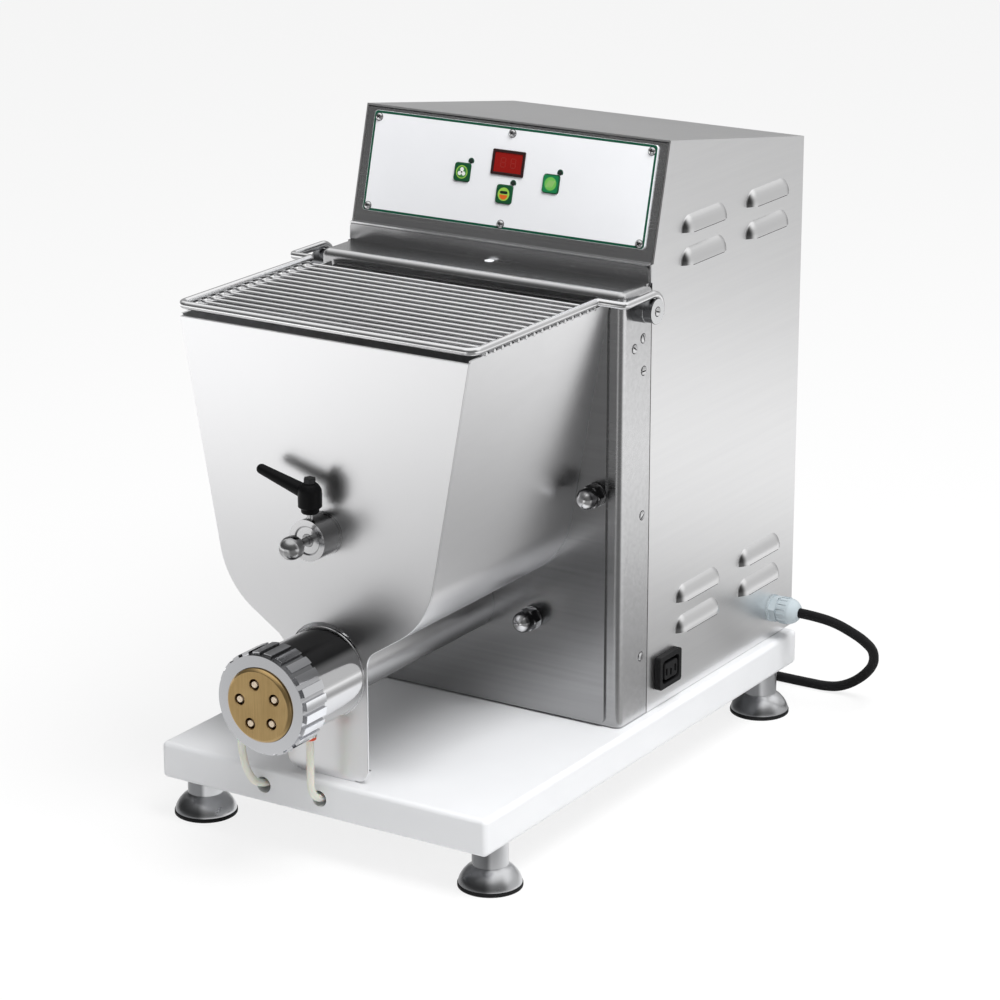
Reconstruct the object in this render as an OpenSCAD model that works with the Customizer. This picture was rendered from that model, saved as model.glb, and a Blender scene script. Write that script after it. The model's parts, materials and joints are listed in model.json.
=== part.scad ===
// Electric pasta maker: a dough hopper with a mixing shaft, an extruding auger in a
// water-cooled barrel with a brass die, and a steel housing with the drive and controls,
// on a white base plate with four feet.
// Frame: X to the right, Y to the back, Z up; the origin is on the floor, under the
// middle of the machine's box, which is measured without the mains cord.

/* [Base plate and feet] */
// Width of the base plate
plate_w = 300; // [290:1:330]
// Depth of the base plate
plate_d = 494; // [484:1:500]
// Thickness of the base plate
plate_t = 30; // [26:1:36]
// Rounding of the base plate's edges
plate_r = 4; // [2:0.5:6]
// Height of a foot
foot_h = 37; // [34:1:45]
// Diameter of a foot at the floor
foot_d = 50; // [46:1:56]
// Distance of a foot's middle from the sides of the plate
foot_inset_x = 17; // [15:1:24]
// Distance of a foot's middle from the front and back of the plate
foot_inset_y = 33; // [28:1:40]
// Diameter of the hose holes in the front edge
hose_hole_d = 13; // [11:0.5:15]

/* [Housing] */
// Width of the housing
case_w = 280; // [270:1:284]
// Back face of the housing, behind the front of the plate
case_back = 502; // [492:1:504]
// Height of the housing's front top edge above the plate
case_front_h = 459; // [450:1:470]
// Height of the housing's back top edge above the plate
case_back_h = 424; // [414:1:434]
// Thickness of the housing's sheet
sheet = 1.5; // [1:0.1:2]
// Front face of the front frame, behind the front of the plate
frame_y = 211; // [208:0.5:214]
// Bending radius of the front frame
frame_r = 6; // [4:0.5:8]
// Height of the ledge in front of the control panel
ledge_h = 353; // [351:0.5:356]
// Seam between the front frame and the housing's side
seam_y = 254; // [250:0.5:255]
// Foot of the leaning control panel, behind the front of the plate
fascia_y = 256; // [255:0.5:260]
// Height of the control panel's foot
fascia_h = 367; // [364:0.5:372]
// Lean of the control panel from upright
fascia_lean = 14.7; // [12:0.1:17]

/* [Louvres] */
// Length of a louvre
louvre_len = 72; // [60:1:76]
// Height of a louvre
louvre_h = 13; // [10:0.5:15]
// How far a louvre stands out
louvre_out = 6; // [4:0.5:8]
// Distance between the louvres of one pair
louvre_pitch = 26; // [22:0.5:30]
// Distance between the two columns
louvre_col = 105; // [100:1:112]
// Middle of the front column
louvre_y = 334; // [330:1:340]
// Lower edge of the lowest pair
louvre_low = 54; // [50:1:60]
// Lower edge of the upper pair
louvre_high = 357; // [350:1:362]

/* [Control panel] */
// Distance of the faceplate's edges from the housing's sides
face_margin = 9.5; // [8:0.5:15]
// Height of the faceplate
face_h = 80.5; // [76:0.5:84]
// Thickness of the faceplate
face_t = 1.5; // [1:0.1:2]
// Side of a button
button_w = 14.6; // [12:0.2:16]
// Travel of a button
button_travel = 1; // [0.5:0.1:1.5]
// Distance of the outer buttons from the middle
button_gap = 41; // [36:1:50]
// Width of the display's frame
display_w = 30; // [26:0.5:36]
// Height of the display's frame
display_h = 20; // [18:0.5:24]

/* [Hopper] */
// Front face of the hopper, behind the front of the plate
hopper_y = 12; // [10:0.5:14]
// Width of the hopper's opening
hopper_w = 258; // [250:1:262]
// Height of the hopper's walls above the plate
hopper_h = 345; // [340:0.5:347]
// Thickness of the front sheet and the back sheet
wall_t = 2; // [1.5:0.1:2.5]
// Room beside the hopper for the upper fixing nuts, from a nut's middle to the hopper's side
waist_gap = 17.6; // [16:0.1:20]
// Slope of the hopper's floor under the horizontal
floor_slope = 33; // [30:0.5:36]
// Bending radius between side and floor
hopper_bend = 67; // [55:1:75]
// Width of the bracket under the hopper
bracket_w = 74; // [73:0.5:80]

/* [Extruder] */
// Height of the auger's axis above the plate
auger_z = 84.6; // [83:0.1:86]
// Diameter of the auger
auger_d = 43; // [40:0.5:44]
// Pitch of the auger's thread
auger_pitch = 36; // [30:1:45]
// Outer diameter of the trough tube
trough_d = 50; // [48:0.5:52]
// Outer diameter of the cooled barrel
barrel_d = 70; // [66:0.5:71]
// Length of the ring nut
nut_len = 28; // [24:1:30]
// Outer diameter of the ring nut over its teeth
nut_d = 80; // [78:0.5:84]
// Front face of the ring nut, in front of the plate
nut_front = 72; // [70:0.5:74]
// Number of teeth round the ring nut
nut_teeth = 24; // [16:1:28]
// Pitch of the ring nut's thread
nut_pitch = 3; // [2:0.5:4]
// Diameter of the die's front
die_d = 57.4; // [54:0.2:58]
// How far the die stands out of the ring nut
die_out = 3.5; // [2:0.5:10]
// Diameter of a die hole
die_hole_d = 8.6; // [7:0.2:10]
// Diameter of the pin in a die hole
die_pin_d = 4.8; // [4:0.2:7]
// Radius of the circle of die holes
die_circle_r = 16.6; // [15:0.1:18]
// Turn of the ring of die holes from upright
die_turn = -10; // [-36:1:36]

/* [Mixer] */
// Module of the gears between auger and mixer
gear_module = 3; // [3:1:3]
// Teeth of the auger's gear
auger_teeth = 24; // [22:1:25]
// Teeth of the mixer's gear
mixer_teeth = 49; // [48:1:50]
// Diameter of the shafts
shaft_d = 20; // [18:0.5:22]
// Reach of the mixer's paddles
mixer_r = 84; // [76:1:85]
// Diameter of the front bearing boss
boss_d = 32; // [30:0.5:36]
// How far the boss stands out of the hopper
boss_len = 22; // [18:1:26]
// Diameter of the bearing pin
pin_d = 10; // [8:0.5:12]
// Diameter of the pin's knob
knob_d = 18; // [16:0.5:22]

/* [Lid grid] */
// Diameter of the lid's frame rod
rod_d = 6; // [5:0.5:7]
// Diameter of the lid's cross wires
wire_d = 3.4; // [3:0.2:4]
// Number of cross wires
wires = 15; // [12:1:17]
// How far the lid's side rods run outside the hopper's walls
lid_over = 2; // [1:0.5:4]
// Length of a pivot boss
pivot_len = 17.5; // [16:0.5:24]
// Diameter of a pivot boss
pivot_d = 20; // [18:0.5:22]
// Middle of the pivot, behind the front of the plate
pivot_y = 232.5; // [226:0.5:234]
// Height of the pivot above the plate
pivot_z = 337.3; // [334:0.1:340]
// Depth of the groove that the lid's hook runs in
groove = 0.6; // [0.4:0.1:2]

/* [Water cooling] */
// Diameter of the cooling tubes
tube_d = 6; // [5:0.5:6]
// Diameter of a push-in fitting
fitting_d = 11; // [10:0.5:12]

/* [Hidden] */
$fn = 48;
fit = 0.1;                       // radial clearance of a running fit
gap = 0.3;                       // clearance between loose neighbours
seat = 0.05;                     // clearance round a piece that is fixed in a bore
plate_top = foot_h + plate_t;
pad_t = 3.4;                     // rubber under each foot
die_front = nut_front + die_out;
inlet_out = 7.5;                 // how far the hose inlets stand out of the back
plate_y = (die_front - case_back - inlet_out) / 2;
half = case_w / 2;
face_w = case_w - 2 * face_margin;
fascia_len = (case_front_h - fascia_h) / cos(fascia_lean);
fascia_top_y = fascia_y + fascia_len * sin(fascia_lean);
face_v = 10;                     // lower edge of the faceplate above the panel's foot
face_mid = face_v + face_h / 2;
mixer_z = auger_z + gear_module * (auger_teeth + mixer_teeth) / 2;
hopper_back = frame_y - wall_t;  // front face of the hopper's back sheet
walls_y = hopper_y + wall_t;
trough_wall = 2.5;
bore_r = trough_d / 2 - trough_wall;
barrel_r = bore_r + 4;
nut_back = -nut_front + nut_len;
thread_d = 66;                   // male thread on the barrel, inside the ring nut
nut_lip = 5;
die_flange_d = 63;
die_flange_t = 6;
thread_front = -nut_front + nut_lip + die_flange_t + gap;
auger_front = thread_front + 3;
support_y = frame_y + sheet;     // front face of the bearing plate
support_t = 12;
support_half = half - 14.5;
support_h = hopper_h - 45;
gear_y = support_y + support_t + 5;
gear_w = 16;
box_y = gear_y + gear_w + 22;    // front face of the gearbox
box_d = 84;
worm_dist = 50;
worm_x = worm_dist;
worm_y = box_y + box_d / 2;
motor_d = 120;
motor_z = auger_z + 62;
motor_h = 150;
wire_z = hopper_h + gap + wire_d / 2;
rod_z = wire_z + wire_d / 2 + rod_d / 2 - 0.4;
lid_front = hopper_y + rod_d / 2 - 1;
lid_half = hopper_w / 2 + lid_over;
lid_back = pivot_y - 46.5;       // where the lid's side rods turn outwards
hook_x = half + pivot_len - 4.5;
hook_r = pivot_d / 2 - groove + gap + rod_d / 2;
nut_upper = [half - 21.5, 191.5]; // the upper pair of fixing nuts: X and height
nut_lower = [61, 80];            // the lower pair of fixing nuts
waist_half = nut_upper[0] - waist_gap;
side_taper = atan((hopper_w / 2 - waist_half) / (hopper_h - nut_upper[1]));
stud_r = 5;
screw_r = 1.9;
outlet_y = 283.7;
outlet_z = 29.3;
outlet_face = [34.5, 27.6];      // the outlet's flange
outlet_body = [29, 22.4];        // its body behind the casing
gland_y = 466;
gland_z = 26;
gland_thread = 8;
cord_d = 8.5;
cord_r = cord_d / 2;
hose_left = -52;
hose_z = -plate_t / 2;
hose_rise_y = 452;
frame_screws = [[241.5, 311.8], [228.5, 306.3], [243, 285.7], [243.3, 168.7], [243.8, 51.5]];
coil_mid_r = 44.9;
coil_w = 3.5 * cord_d;
coil_h = 2 * cord_d;
coil_pos = [10, 372, 0];
lead_route = [[144, 249, 93], [160, 249, 93], [173, 249, 92.9], [183, 249.3, 92.3],
    [193, 250.8, 90.6], [202, 254.2, 86.9], [209, 259.8, 81.2], [213.5, 267, 75], [216, 276, 67.4],
    [216.8, 286, 58.5], [214.5, 295, 48], [209, 303.5, 37.5], [201, 310, 27.5], [191.5, 314, 18.5],
    [181, 316, 11.2], [170, 316.5, 6.5], [158, 316.5, 4.6], [144, 316.5, 4.3], [124, 316.5, 4.3],
    [104, 316.5, 4.3], [84, 316.5, 4.3], [64, 316.5, 4.3], [44, 316.5, 4.3], [26, 316.5, 4.3],
    [10, 316.5, 4.3]];
tail_route = [[-39, 372, 12.8], [-39.3, 382, 13], [-42, 393, 13.5], [-49, 403.5, 14.5],
    [-59, 411, 16], [-71, 415.5, 17.5], [-84, 417, 18.4], [-98, 417, 18.5]];
plug_pos = [-98, 417, 18.5];

// ---------- frames ----------

// Children are drawn in the machine's own frame: front of the plate at Y 0, its top at Z 0.
module place() { translate([0, plate_y, plate_top]) children(); }

// Children stand on the leaning control panel: X across, Y up the slope, Z outwards.
module on_fascia(x = 0, v = 0) {
    translate([x, fascia_y, fascia_h]) rotate([90 - fascia_lean, 0, 0]) translate([0, v, 0])
        children();
}

module both_sides() {
    children();
    mirror([1, 0, 0]) children();
}

// ---------- shapes ----------

// A cylinder along Y from y0 to y1.
module rod_y(r, y0, y1, x = 0, z = 0) {
    translate([x, y0, z]) rotate([-90, 0, 0]) cylinder(h = y1 - y0, r = r);
}

// A cylinder along X from x0 to x1.
module rod_x(r, x0, x1, y = 0, z = 0) {
    translate([x0, y, z]) rotate([0, 90, 0]) cylinder(h = x1 - x0, r = r);
}

// A round rod between two points.
module rod(p, q, r) {
    d = q - p;
    translate(p) rotate([0, acos(d[2] / norm(d)), atan2(d[1], d[0])])
        cylinder(h = norm(d), r = r);
}

// A block with all its edges rounded.
module rounded_block(size, r) {
    inner = [for (s = size) s - 2 * r];
    translate([r, r, r]) {
        translate([-r, 0, 0]) cube([size[0], inner[1], inner[2]]);
        translate([0, -r, 0]) cube([inner[0], size[1], inner[2]]);
        translate([0, 0, -r]) cube([inner[0], inner[1], size[2]]);
        for (x = [0, inner[0]], y = [0, inner[1]]) translate([x, y, 0]) cylinder(h = inner[2], r = r);
        for (x = [0, inner[0]], z = [0, inner[2]]) rod_y(r, 0, inner[1], x, z);
        for (y = [0, inner[1]], z = [0, inner[2]]) rod_x(r, 0, inner[0], y, z);
        for (x = [0, inner[0]], y = [0, inner[1]], z = [0, inner[2]]) translate([x, y, z]) sphere(r);
    }
}

// A flat plate in X and Y with rounded corners, centred.
module rounded_plate(w, h, t, r) {
    translate([-w / 2 + r, -h / 2, 0]) cube([w - 2 * r, h, t]);
    translate([-w / 2, -h / 2 + r, 0]) cube([w, h - 2 * r, t]);
    for (x = [-1, 1], y = [-1, 1])
        translate([x * (w / 2 - r), y * (h / 2 - r), 0]) cylinder(h = t, r = r);
}

// A prism whose outline lies in X and Z, from y0 to y1.
module prism_y(outline, y0, y1) {
    translate([0, y1, 0]) rotate([90, 0, 0]) linear_extrude(y1 - y0) polygon(outline);
}

// A prism whose outline lies in Y and Z, from x0 to x1.
module prism_x(outline, x0, x1) {
    translate([x0, 0, 0]) rotate([90, 0, 90]) linear_extrude(x1 - x0) polygon(outline);
}

// Rounds the corners of an outline; each corner is [x, y, radius].
function fillet(p, a, b, n) =
    let (u = (a - p) / norm(a - p), v = (b - p) / norm(b - p), half_angle = acos(u * v) / 2,
         m = (u + v) / norm(u + v), r = p[2],
         c = [p[0], p[1]] + [m[0], m[1]] * r / sin(half_angle),
         s = [p[0], p[1]] + [u[0], u[1]] * r / tan(half_angle) - c,
         e = [p[0], p[1]] + [v[0], v[1]] * r / tan(half_angle) - c)
    [for (i = [0:n]) let (w = s * (1 - i / n) + e * (i / n)) c + w * r / norm(w)];
function flat(p) = [p[0], p[1], 0];
function round_corner(p, a, b, n) =
    p[2] == 0 ? [[p[0], p[1]]]
        : [for (q = fillet(p, flat(a) + [0, 0, p[2]], flat(b) + [0, 0, p[2]], n)) q];
function rounded_outline(c, n = 8) =
    [for (i = [0:len(c) - 1])
        each round_corner(c[i], c[(i + len(c) - 1) % len(c)], c[(i + 1) % len(c)], n)];

// A tube swept along points, closed at both ends; across is never parallel to the path.
function unit(v) = v / norm(v);
module swept_tube(path, r, sides, across) {
    last = len(path) - 1;
    rings = [for (i = [0:last])
        let (t = unit(path[min(i + 1, last)] - path[max(i - 1, 0)]), s = unit(cross(t, across)),
             u = cross(s, t))
        for (k = [0:sides - 1])
            path[i] + r * (cos(360 * k / sides) * s + sin(360 * k / sides) * u)];
    walls = [for (i = [0:last - 1], k = [0:sides - 1])
        [i * sides + k, (i + 1) * sides + k, (i + 1) * sides + (k + 1) % sides,
         i * sides + (k + 1) % sides]];
    front = [for (k = [0:sides - 1]) k];
    back = [for (k = [sides - 1:-1:0]) last * sides + k];
    polyhedron(rings, concat(walls, [front, back]), convexity = 8);
}

// Outline of an involute spur gear, with a tooth centred on angle 0.
function involute(a) = tan(a) * 180 / PI - a;
function gear_outline(m, z, backlash = 0.16) =
    let (pitch_r = m * z / 2, base_r = pitch_r * cos(20), root_r = pitch_r - 1.25 * m,
         tip_r = pitch_r + m, half_tooth = 90 / z - backlash / pitch_r * 90 / PI,
         radii = [root_r, max(root_r, base_r) + 0.01, pitch_r - m / 3, pitch_r + m / 3, tip_r],
         width = [for (r = radii)
             half_tooth + involute(20) - involute(acos(min(1, base_r / max(r, base_r))))])
    [for (k = [0:z - 1], side = [-1, 1], i = [0:4])
        let (j = side < 0 ? i : 4 - i, a = 360 * k / z + side * width[j])
        radii[j] * [cos(a), sin(a)]];

module spur_gear(z, bore, w, phase = 0) {
    difference() {
        rotate([90, 0, 0]) translate([0, 0, -w]) linear_extrude(w) rotate(phase)
            polygon(gear_outline(gear_module, z));
        rod_y(bore + seat, -1, w + 1);
    }
}

// ---------- base ----------

module foot_places() {
    for (x = [-1, 1], y = [foot_inset_y, plate_d - foot_inset_y])
        translate([x * (plate_w / 2 - foot_inset_x), y, -plate_top]) children();
}

module hose_bores() {
    for (x = [hose_left, 0]) {
        rod_y(hose_hole_d / 2, -1, hose_rise_y, x, hose_z);
        translate([x, hose_rise_y, hose_z - hose_hole_d / 2 - 1])
            cylinder(h = plate_t + hose_hole_d, r = hose_hole_d / 2 + 1.5);
    }
}

module base_plate() {
    color("white") place() difference() {
        translate([-plate_w / 2, 0, -plate_t]) rounded_block([plate_w, plate_d, plate_t], plate_r);
        hose_bores();
        foot_places() cylinder(h = foot_h + 18, r = 4 + fit);
    }
}

module foot_bells() {
    neck_r = 0.28 * foot_d;
    skirt = [[4 + fit, foot_h], [neck_r, foot_h], [neck_r, 18.2], [neck_r + 0.9, 17],
        [neck_r + 4.4, 14.2], [foot_d / 2 - 3.8, 11], [foot_d / 2 - 1.9, 7.8], [foot_d / 2 - 0.8, 5],
        [foot_d / 2 - 0.6, pad_t], [4 + fit, pad_t]];
    color("silver") place() foot_places() rotate_extrude() polygon(skirt);
}

module foot_pads() {
    color("black") place() foot_places() rotate_extrude()
        polygon([[0, 0], [foot_d / 2 - 1, 0], [foot_d / 2, 0.6], [foot_d / 2, pad_t - 0.4],
            [foot_d / 2 - 0.6, pad_t], [0, pad_t]]);
}

module foot_bolts() {
    color("silver") place() foot_places() translate([0, 0, pad_t]) cylinder(h = foot_h + 17 - pad_t, r = 4);
}

// ---------- housing ----------

// The housing's outline in Y and Z, inset by t, and open beyond the front, back and bottom.
function case_line(t) = [[fascia_top_y, case_front_h - t], [case_back, case_back_h - t]];
riser_y = fascia_y - 5;            // the upstand at the back of the ledge
riser_back = riser_y + sheet + 0.1;
outer_case = concat([[seam_y, 0.5], [seam_y, ledge_h + gap], [riser_back, ledge_h + gap],
    [riser_back, fascia_h], [fascia_y, fascia_h]], case_line(0), [[case_back, 0.5]]);
inner_case = [[seam_y - 90, -1], [seam_y - 90, case_front_h - sheet + 20],
    case_line(sheet)[0] + [-20, 20 * (case_front_h - case_back_h) / (case_back - fascia_top_y)],
    case_line(sheet)[1] + [20, -20 * (case_front_h - case_back_h) / (case_back - fascia_top_y)],
    [case_back + 20, -1]];

module louvre_places() {
    for (c = [0, 1], z = [louvre_low, louvre_low + louvre_pitch, louvre_high, louvre_high + louvre_pitch])
        translate([half, louvre_y + c * louvre_col, z]) children();
}

// A pressed hood, open at its lower edge: a slice of a round tube with ball ends.
louvre_r = (pow(louvre_h, 2) + pow(louvre_out, 2)) / (2 * louvre_out);
module louvre_shell(r) {
    straight = louvre_len / 2 - louvre_h;
    translate([louvre_out - louvre_r, 0, 0]) {
        rod_y(r, -straight, straight);
        for (y = [-straight, straight]) translate([0, y, 0]) sphere(r);
    }
}

module louvre_hood() {
    intersection() {
        difference() {
            louvre_shell(louvre_r);
            louvre_shell(louvre_r - 1.2);
        }
        translate([-sheet, -louvre_len / 2 - 2, 0])
            cube([louvre_out + 2 * sheet, louvre_len + 4, louvre_h + 2]);
    }
}

module louvre_slot() {
    slot_len = louvre_len - 2 * louvre_h;
    translate([-sheet - 1, -slot_len / 2, 1.5]) cube([sheet + 2, slot_len, louvre_h - 4]);
}

module casing_cover() {
    color("lightgray") place() difference() {
        union() {
            difference() {
                prism_x(outer_case, -half, half);
                prism_x(inner_case, -half + sheet, half - sheet);
            }
            both_sides() louvre_places() louvre_hood();
            both_sides() translate([half - 2 * sheet, seam_y - 15, 1])
                cube([sheet, 30, ledge_h - 12]);
            both_sides() translate([half - 22, case_back - 2 * sheet, 1])
                cube([22, sheet, case_back_h - sheet - 2]);
        }
        both_sides() louvre_places() louvre_slot();
        both_sides() for (s = frame_screws)
            rod_x(screw_r + fit, half - 3 * sheet, half + 1, s[0], s[1]);
        for (s = back_screws) rod_y(screw_r + fit, case_back - 4, case_back + 1, s[0], s[1]);
        rod_x(gland_thread + fit, half - 3, half + 2, gland_y, gland_z);
        translate([half - 3, outlet_y - outlet_body[0] / 2 - fit, outlet_z - outlet_body[1] / 2 - fit])
            cube([6, outlet_body[0] + 2 * fit, outlet_body[1] + 2 * fit]);
    }
}

back_screws = [for (x = [-1, 1], z = [20, case_back_h / 2 - 2, case_back_h - 29]) [x * (half - 14), z]];

module back_panel() {
    vent_h = 60;
    vent_z = case_back_h - 144;
    color("lightgray") place() difference() {
        translate([-half + sheet + gap, case_back - sheet, 1])
            cube([case_w - 2 * sheet - 2 * gap, sheet, case_back_h - sheet - 2]);
        for (s = back_screws) rod_y(screw_r + fit, case_back - 3, case_back + 1, s[0], s[1]);
        for (x = [hose_left, 0]) rod_y(6 + fit, case_back - 3, case_back + 1, x, hose_out_z);
        for (x = [-44:11:44]) translate([x - 2.5, case_back - 3, vent_z]) cube([5, 6, vent_h]);
    }
}

// A screw along Z with a slotted head that sits on Z 0.
module slotted_screw(head_r, head_h, shank_r, shank) {
    translate([0, 0, -shank]) cylinder(h = shank, r = shank_r);
    difference() {
        cylinder(h = head_h, r = head_r);
        translate([-head_r - 1, -0.6, head_h / 2]) cube([2 * head_r + 2, 1.2, head_h]);
    }
}

module case_screws() {
    color("silver") place() {
        both_sides() for (i = [0:len(frame_screws) - 1])
            translate([half, frame_screws[i][0], frame_screws[i][1]])
                rotate([0, 90, 0]) rotate(20 + 35 * i) slotted_screw(3.4, 0.8, screw_r, 6);
        both_sides() translate([half + pivot_len, pivot_y, pivot_z])
            rotate([0, 90, 0]) rotate(75) slotted_screw(3.6, 1, 2.4, pivot_len + 3);
        for (s = back_screws) translate([s[0], case_back, s[1]])
            rotate([-90, 0, 0]) rotate(30 * s[1]) slotted_screw(3.4, 0.8, screw_r, 6);
    }
}

riser_h = fascia_h - ledge_h + sheet - 1;

// The front frame's outer form, t inside the sheet's outer face.
module frame_form(t) {
    translate([-half + t, frame_y + t, -40])
        rounded_block([case_w - 2 * t, 2 * (seam_y - frame_y) + 54, ledge_h + 40 - t], frame_r - t);
}

module front_frame() {
    color("gray") place() difference() {
        union() {
            intersection() {
                frame_form(0);
                translate([-half - 1, frame_y - 1, 1]) cube([case_w + 2, seam_y - frame_y + 1, ledge_h]);
            }
            translate([-half + sheet, seam_y - frame_r, ledge_h - sheet])
                cube([case_w - 2 * sheet, fascia_y - seam_y + frame_r, sheet]);
            translate([0, riser_y + sheet, ledge_h + riser_h / 2 - sheet]) rotate([90, 0, 0])
                rounded_plate(case_w - 2 * sheet, riser_h, sheet, 3);
        }
        intersection() {
            frame_form(sheet);
            translate([-half, frame_y, 0]) cube([case_w, seam_y - frame_y + 1, ledge_h - sheet]);
        }
        rod_y(shaft_d / 2 + 6, frame_y - 2, frame_y + 4, 0, auger_z);
        rod_y(shaft_d / 2 + 6, frame_y - 2, frame_y + 4, 0, mixer_z);
        stud_places() rod_y(stud_r + fit, frame_y - 2, frame_y + 4);
        both_sides() for (s = frame_screws)
            rod_x(screw_r + fit, half - 3 * sheet, half + 1, s[0], s[1]);
        both_sides() rod_x(2.4 + fit, half - 3, half + 1, pivot_y, pivot_z);
    }
}

// ---------- controls ----------

buttons = [[-button_gap, 50.3], [0, 37.4], [button_gap, 50.3]];
lens_offset = [6.8, button_w / 2 + 2.1];
face_screws = [for (x = [-1, 0, 1], v = [13.8, 85.3]) [x * (face_w / 2 - 4.7), v]];
display_v = 62;
window_back = face_t - 3;
button_back = -8;

module button_hole(clear) {
    for (b = buttons) translate([b[0], b[1], -6])
        rounded_plate(button_w + 2 * clear, button_w + 2 * clear, 12, 2.4);
}

module panel_holes() {
    button_hole(gap);
    for (b = buttons) translate([b[0] + lens_offset[0], b[1] + lens_offset[1], -6])
        cylinder(h = 12, r = 1.5 + fit);
    for (s = face_screws) translate([s[0], s[1], -6]) cylinder(h = 12, r = 1.4 + fit);
    translate([-13, display_v - 8, -6]) cube([26, 16, 12]);
}

// Y and Z of a point of the leaning panel, depth behind its face: v up its slope, or at a height z.
function fascia_at(v, depth) = [fascia_y + v * sin(fascia_lean) + depth * cos(fascia_lean),
    fascia_h + v * cos(fascia_lean) - depth * sin(fascia_lean)];
function fascia_line(z, depth) =
    [fascia_y + (z - fascia_h) * tan(fascia_lean) + depth / cos(fascia_lean), z];

// The panel's lower edge is folded forward over the upstand of the ledge.
module fascia_panel() {
    fascia_half = half - sheet - gap;
    fascia_v = fascia_len - 2 * sheet + 0.5;
    fold_z = fascia_h - 1 + gap;
    color("gray") place() difference() {
        translate([-fascia_half, 0, 0]) rotate([90, 0, 90]) linear_extrude(2 * fascia_half)
            polygon([[riser_y + 0.5, fold_z], fascia_line(fold_z, sheet), fascia_at(fascia_v, sheet),
                fascia_at(fascia_v, 0), fascia_line(fold_z + sheet, 0), [riser_y + 0.5, fold_z + sheet]]);
        on_fascia() panel_holes();
    }
}

module faceplate() {
    color("whitesmoke") place() on_fascia() difference() {
        translate([0, face_mid, 0]) rounded_plate(face_w, face_h, face_t, 3);
        panel_holes();
    }
}

module faceplate_screws() {
    color("silver") place() for (s = face_screws)
        on_fascia(s[0], s[1]) translate([0, 0, face_t]) difference() {
            union() {
                translate([0, 0, -5]) cylinder(h = 5, r = 1.4);
                intersection() {
                    cylinder(h = 1.8, r = 3);
                    translate([0, 0, -2.6]) sphere(4.2);
                }
            }
            for (a = [20, 110]) rotate(a) translate([-1.9, -0.35, 0.7]) cube([3.8, 0.7, 2]);
        }
}

module display_bezel() {
    color("black") place() on_fascia(0, display_v) translate([0, 0, face_t]) difference() {
        rounded_plate(display_w, display_h, 1, 1);
        translate([-12.8, -7.8, -1]) cube([25.6, 15.6, 3]);
    }
}

module display_window() {
    color("darkred") place() on_fascia(0, display_v) translate([-12.7, -7.7, window_back])
        cube([25.4, 15.4, 3.5]);
}

module button_at(b) {
    color("darkgreen") place() on_fascia(b[0], b[1]) {
        translate([0, 0, -2]) rounded_plate(button_w, button_w, face_t + 2 + 1.2, 2.2);
        translate([0, 0, button_back]) cylinder(h = -2 - button_back, r = 3);
    }
}
module button_left() { button_at(buttons[0]); }
module button_middle() { button_at(buttons[1]); }
module button_right() { button_at(buttons[2]); }

module indicator_lenses() {
    color("darkslategray") place() for (b = buttons)
        on_fascia(b[0] + lens_offset[0], b[1] + lens_offset[1]) {
            translate([0, 0, -9]) cylinder(h = 9 + face_t, r = 1.5);
            translate([0, 0, face_t]) cylinder(h = 0.6, r = 1.9);
        }
}

module control_board() {
    board_z = -12;
    board_w = 2 * button_gap + 58;
    board_h = 62;
    board_v = face_mid - 30.25;
    switch_top = button_back - button_travel - gap;
    color("green") place() on_fascia() {
        translate([-board_w / 2, board_v, board_z]) cube([board_w, board_h, 1.6]);
        for (b = buttons) translate([b[0] - 4, b[1] - 4, board_z + 1.6])
            cube([8, 8, switch_top - board_z - 1.6]);
        translate([-14, display_v - 9, board_z + 1.6]) cube([28, 18, window_back - gap - board_z - 1.6]);
        for (x = [-1, 1], v = [4, board_h - 4])
            translate([x * (board_w / 2 - 4), board_v + v, board_z + 1.6])
            cylinder(h = -board_z - 1.6 - sheet, r = 2.5);
        for (x = [-50, 30]) translate([x, board_v + 8, board_z - 14]) cube([20, 18, 14]);
    }
}

// ---------- hopper ----------

floor_x = 52;                    // a point on the outside of the sloping floor
floor_z = auger_z + 27.9;
bracket_half = bracket_w / 2;
function side_at(z) = hopper_w / 2 - (hopper_h - z) * tan(side_taper);
function floor_at(x) = floor_z + (x - floor_x) * tan(floor_slope);
knee_z = (floor_z - (floor_x - hopper_w / 2 + hopper_h * tan(side_taper)) * tan(floor_slope))
    / (1 - tan(side_taper) * tan(floor_slope));
knee = [side_at(knee_z), knee_z];

function mirrored(c) = [for (i = [len(c) - 1:-1:0]) [-c[i][0], c[i][1], c[i][2]]];
function trough(inset, top) =
    let (s = inset / cos(side_taper), f = inset / cos(floor_slope),
         k = knee + [-(s + f * tan(side_taper)) / (1 - tan(side_taper) * tan(floor_slope)),
                     (f - s * tan(floor_slope)) / (1 - tan(side_taper) * tan(floor_slope))],
         right = [[14, floor_at(14) + f, 0], [k[0], k[1], hopper_bend - inset],
                  [side_at(top) - s, top, 0]])
    rounded_outline(concat(right, mirrored(right)), 12);

front_right = [[bracket_half, 1, 10], [bracket_half, floor_at(bracket_half), 16],
    [knee[0], knee[1], hopper_bend], [side_at(hopper_h - 2), hopper_h - 2, 0]];
front_outline = rounded_outline(concat(front_right, mirrored(front_right)), 12);

module hopper_walls() {
    color("lightgray") place() difference() {
        union() {
            prism_y(trough(0, hopper_h), walls_y, hopper_back);
            rod_y(trough_d / 2, walls_y, hopper_back, 0, auger_z);
        }
        prism_y(trough(sheet, hopper_h + 5), walls_y - 1, hopper_back + 1);
        rod_y(bore_r, walls_y - 1, hopper_back + 1, 0, auger_z);
    }
}

// The opening for the barrel: round below, and raised a little at its top.
module neck_hole() {
    rod_y(barrel_d / 2 + 0.3, hopper_y - 1, walls_y + 1, 0, auger_z);
    rod_y(barrel_d / 2 - 1.5, hopper_y - 1, walls_y + 1, 0, auger_z + 5);
}

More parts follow.
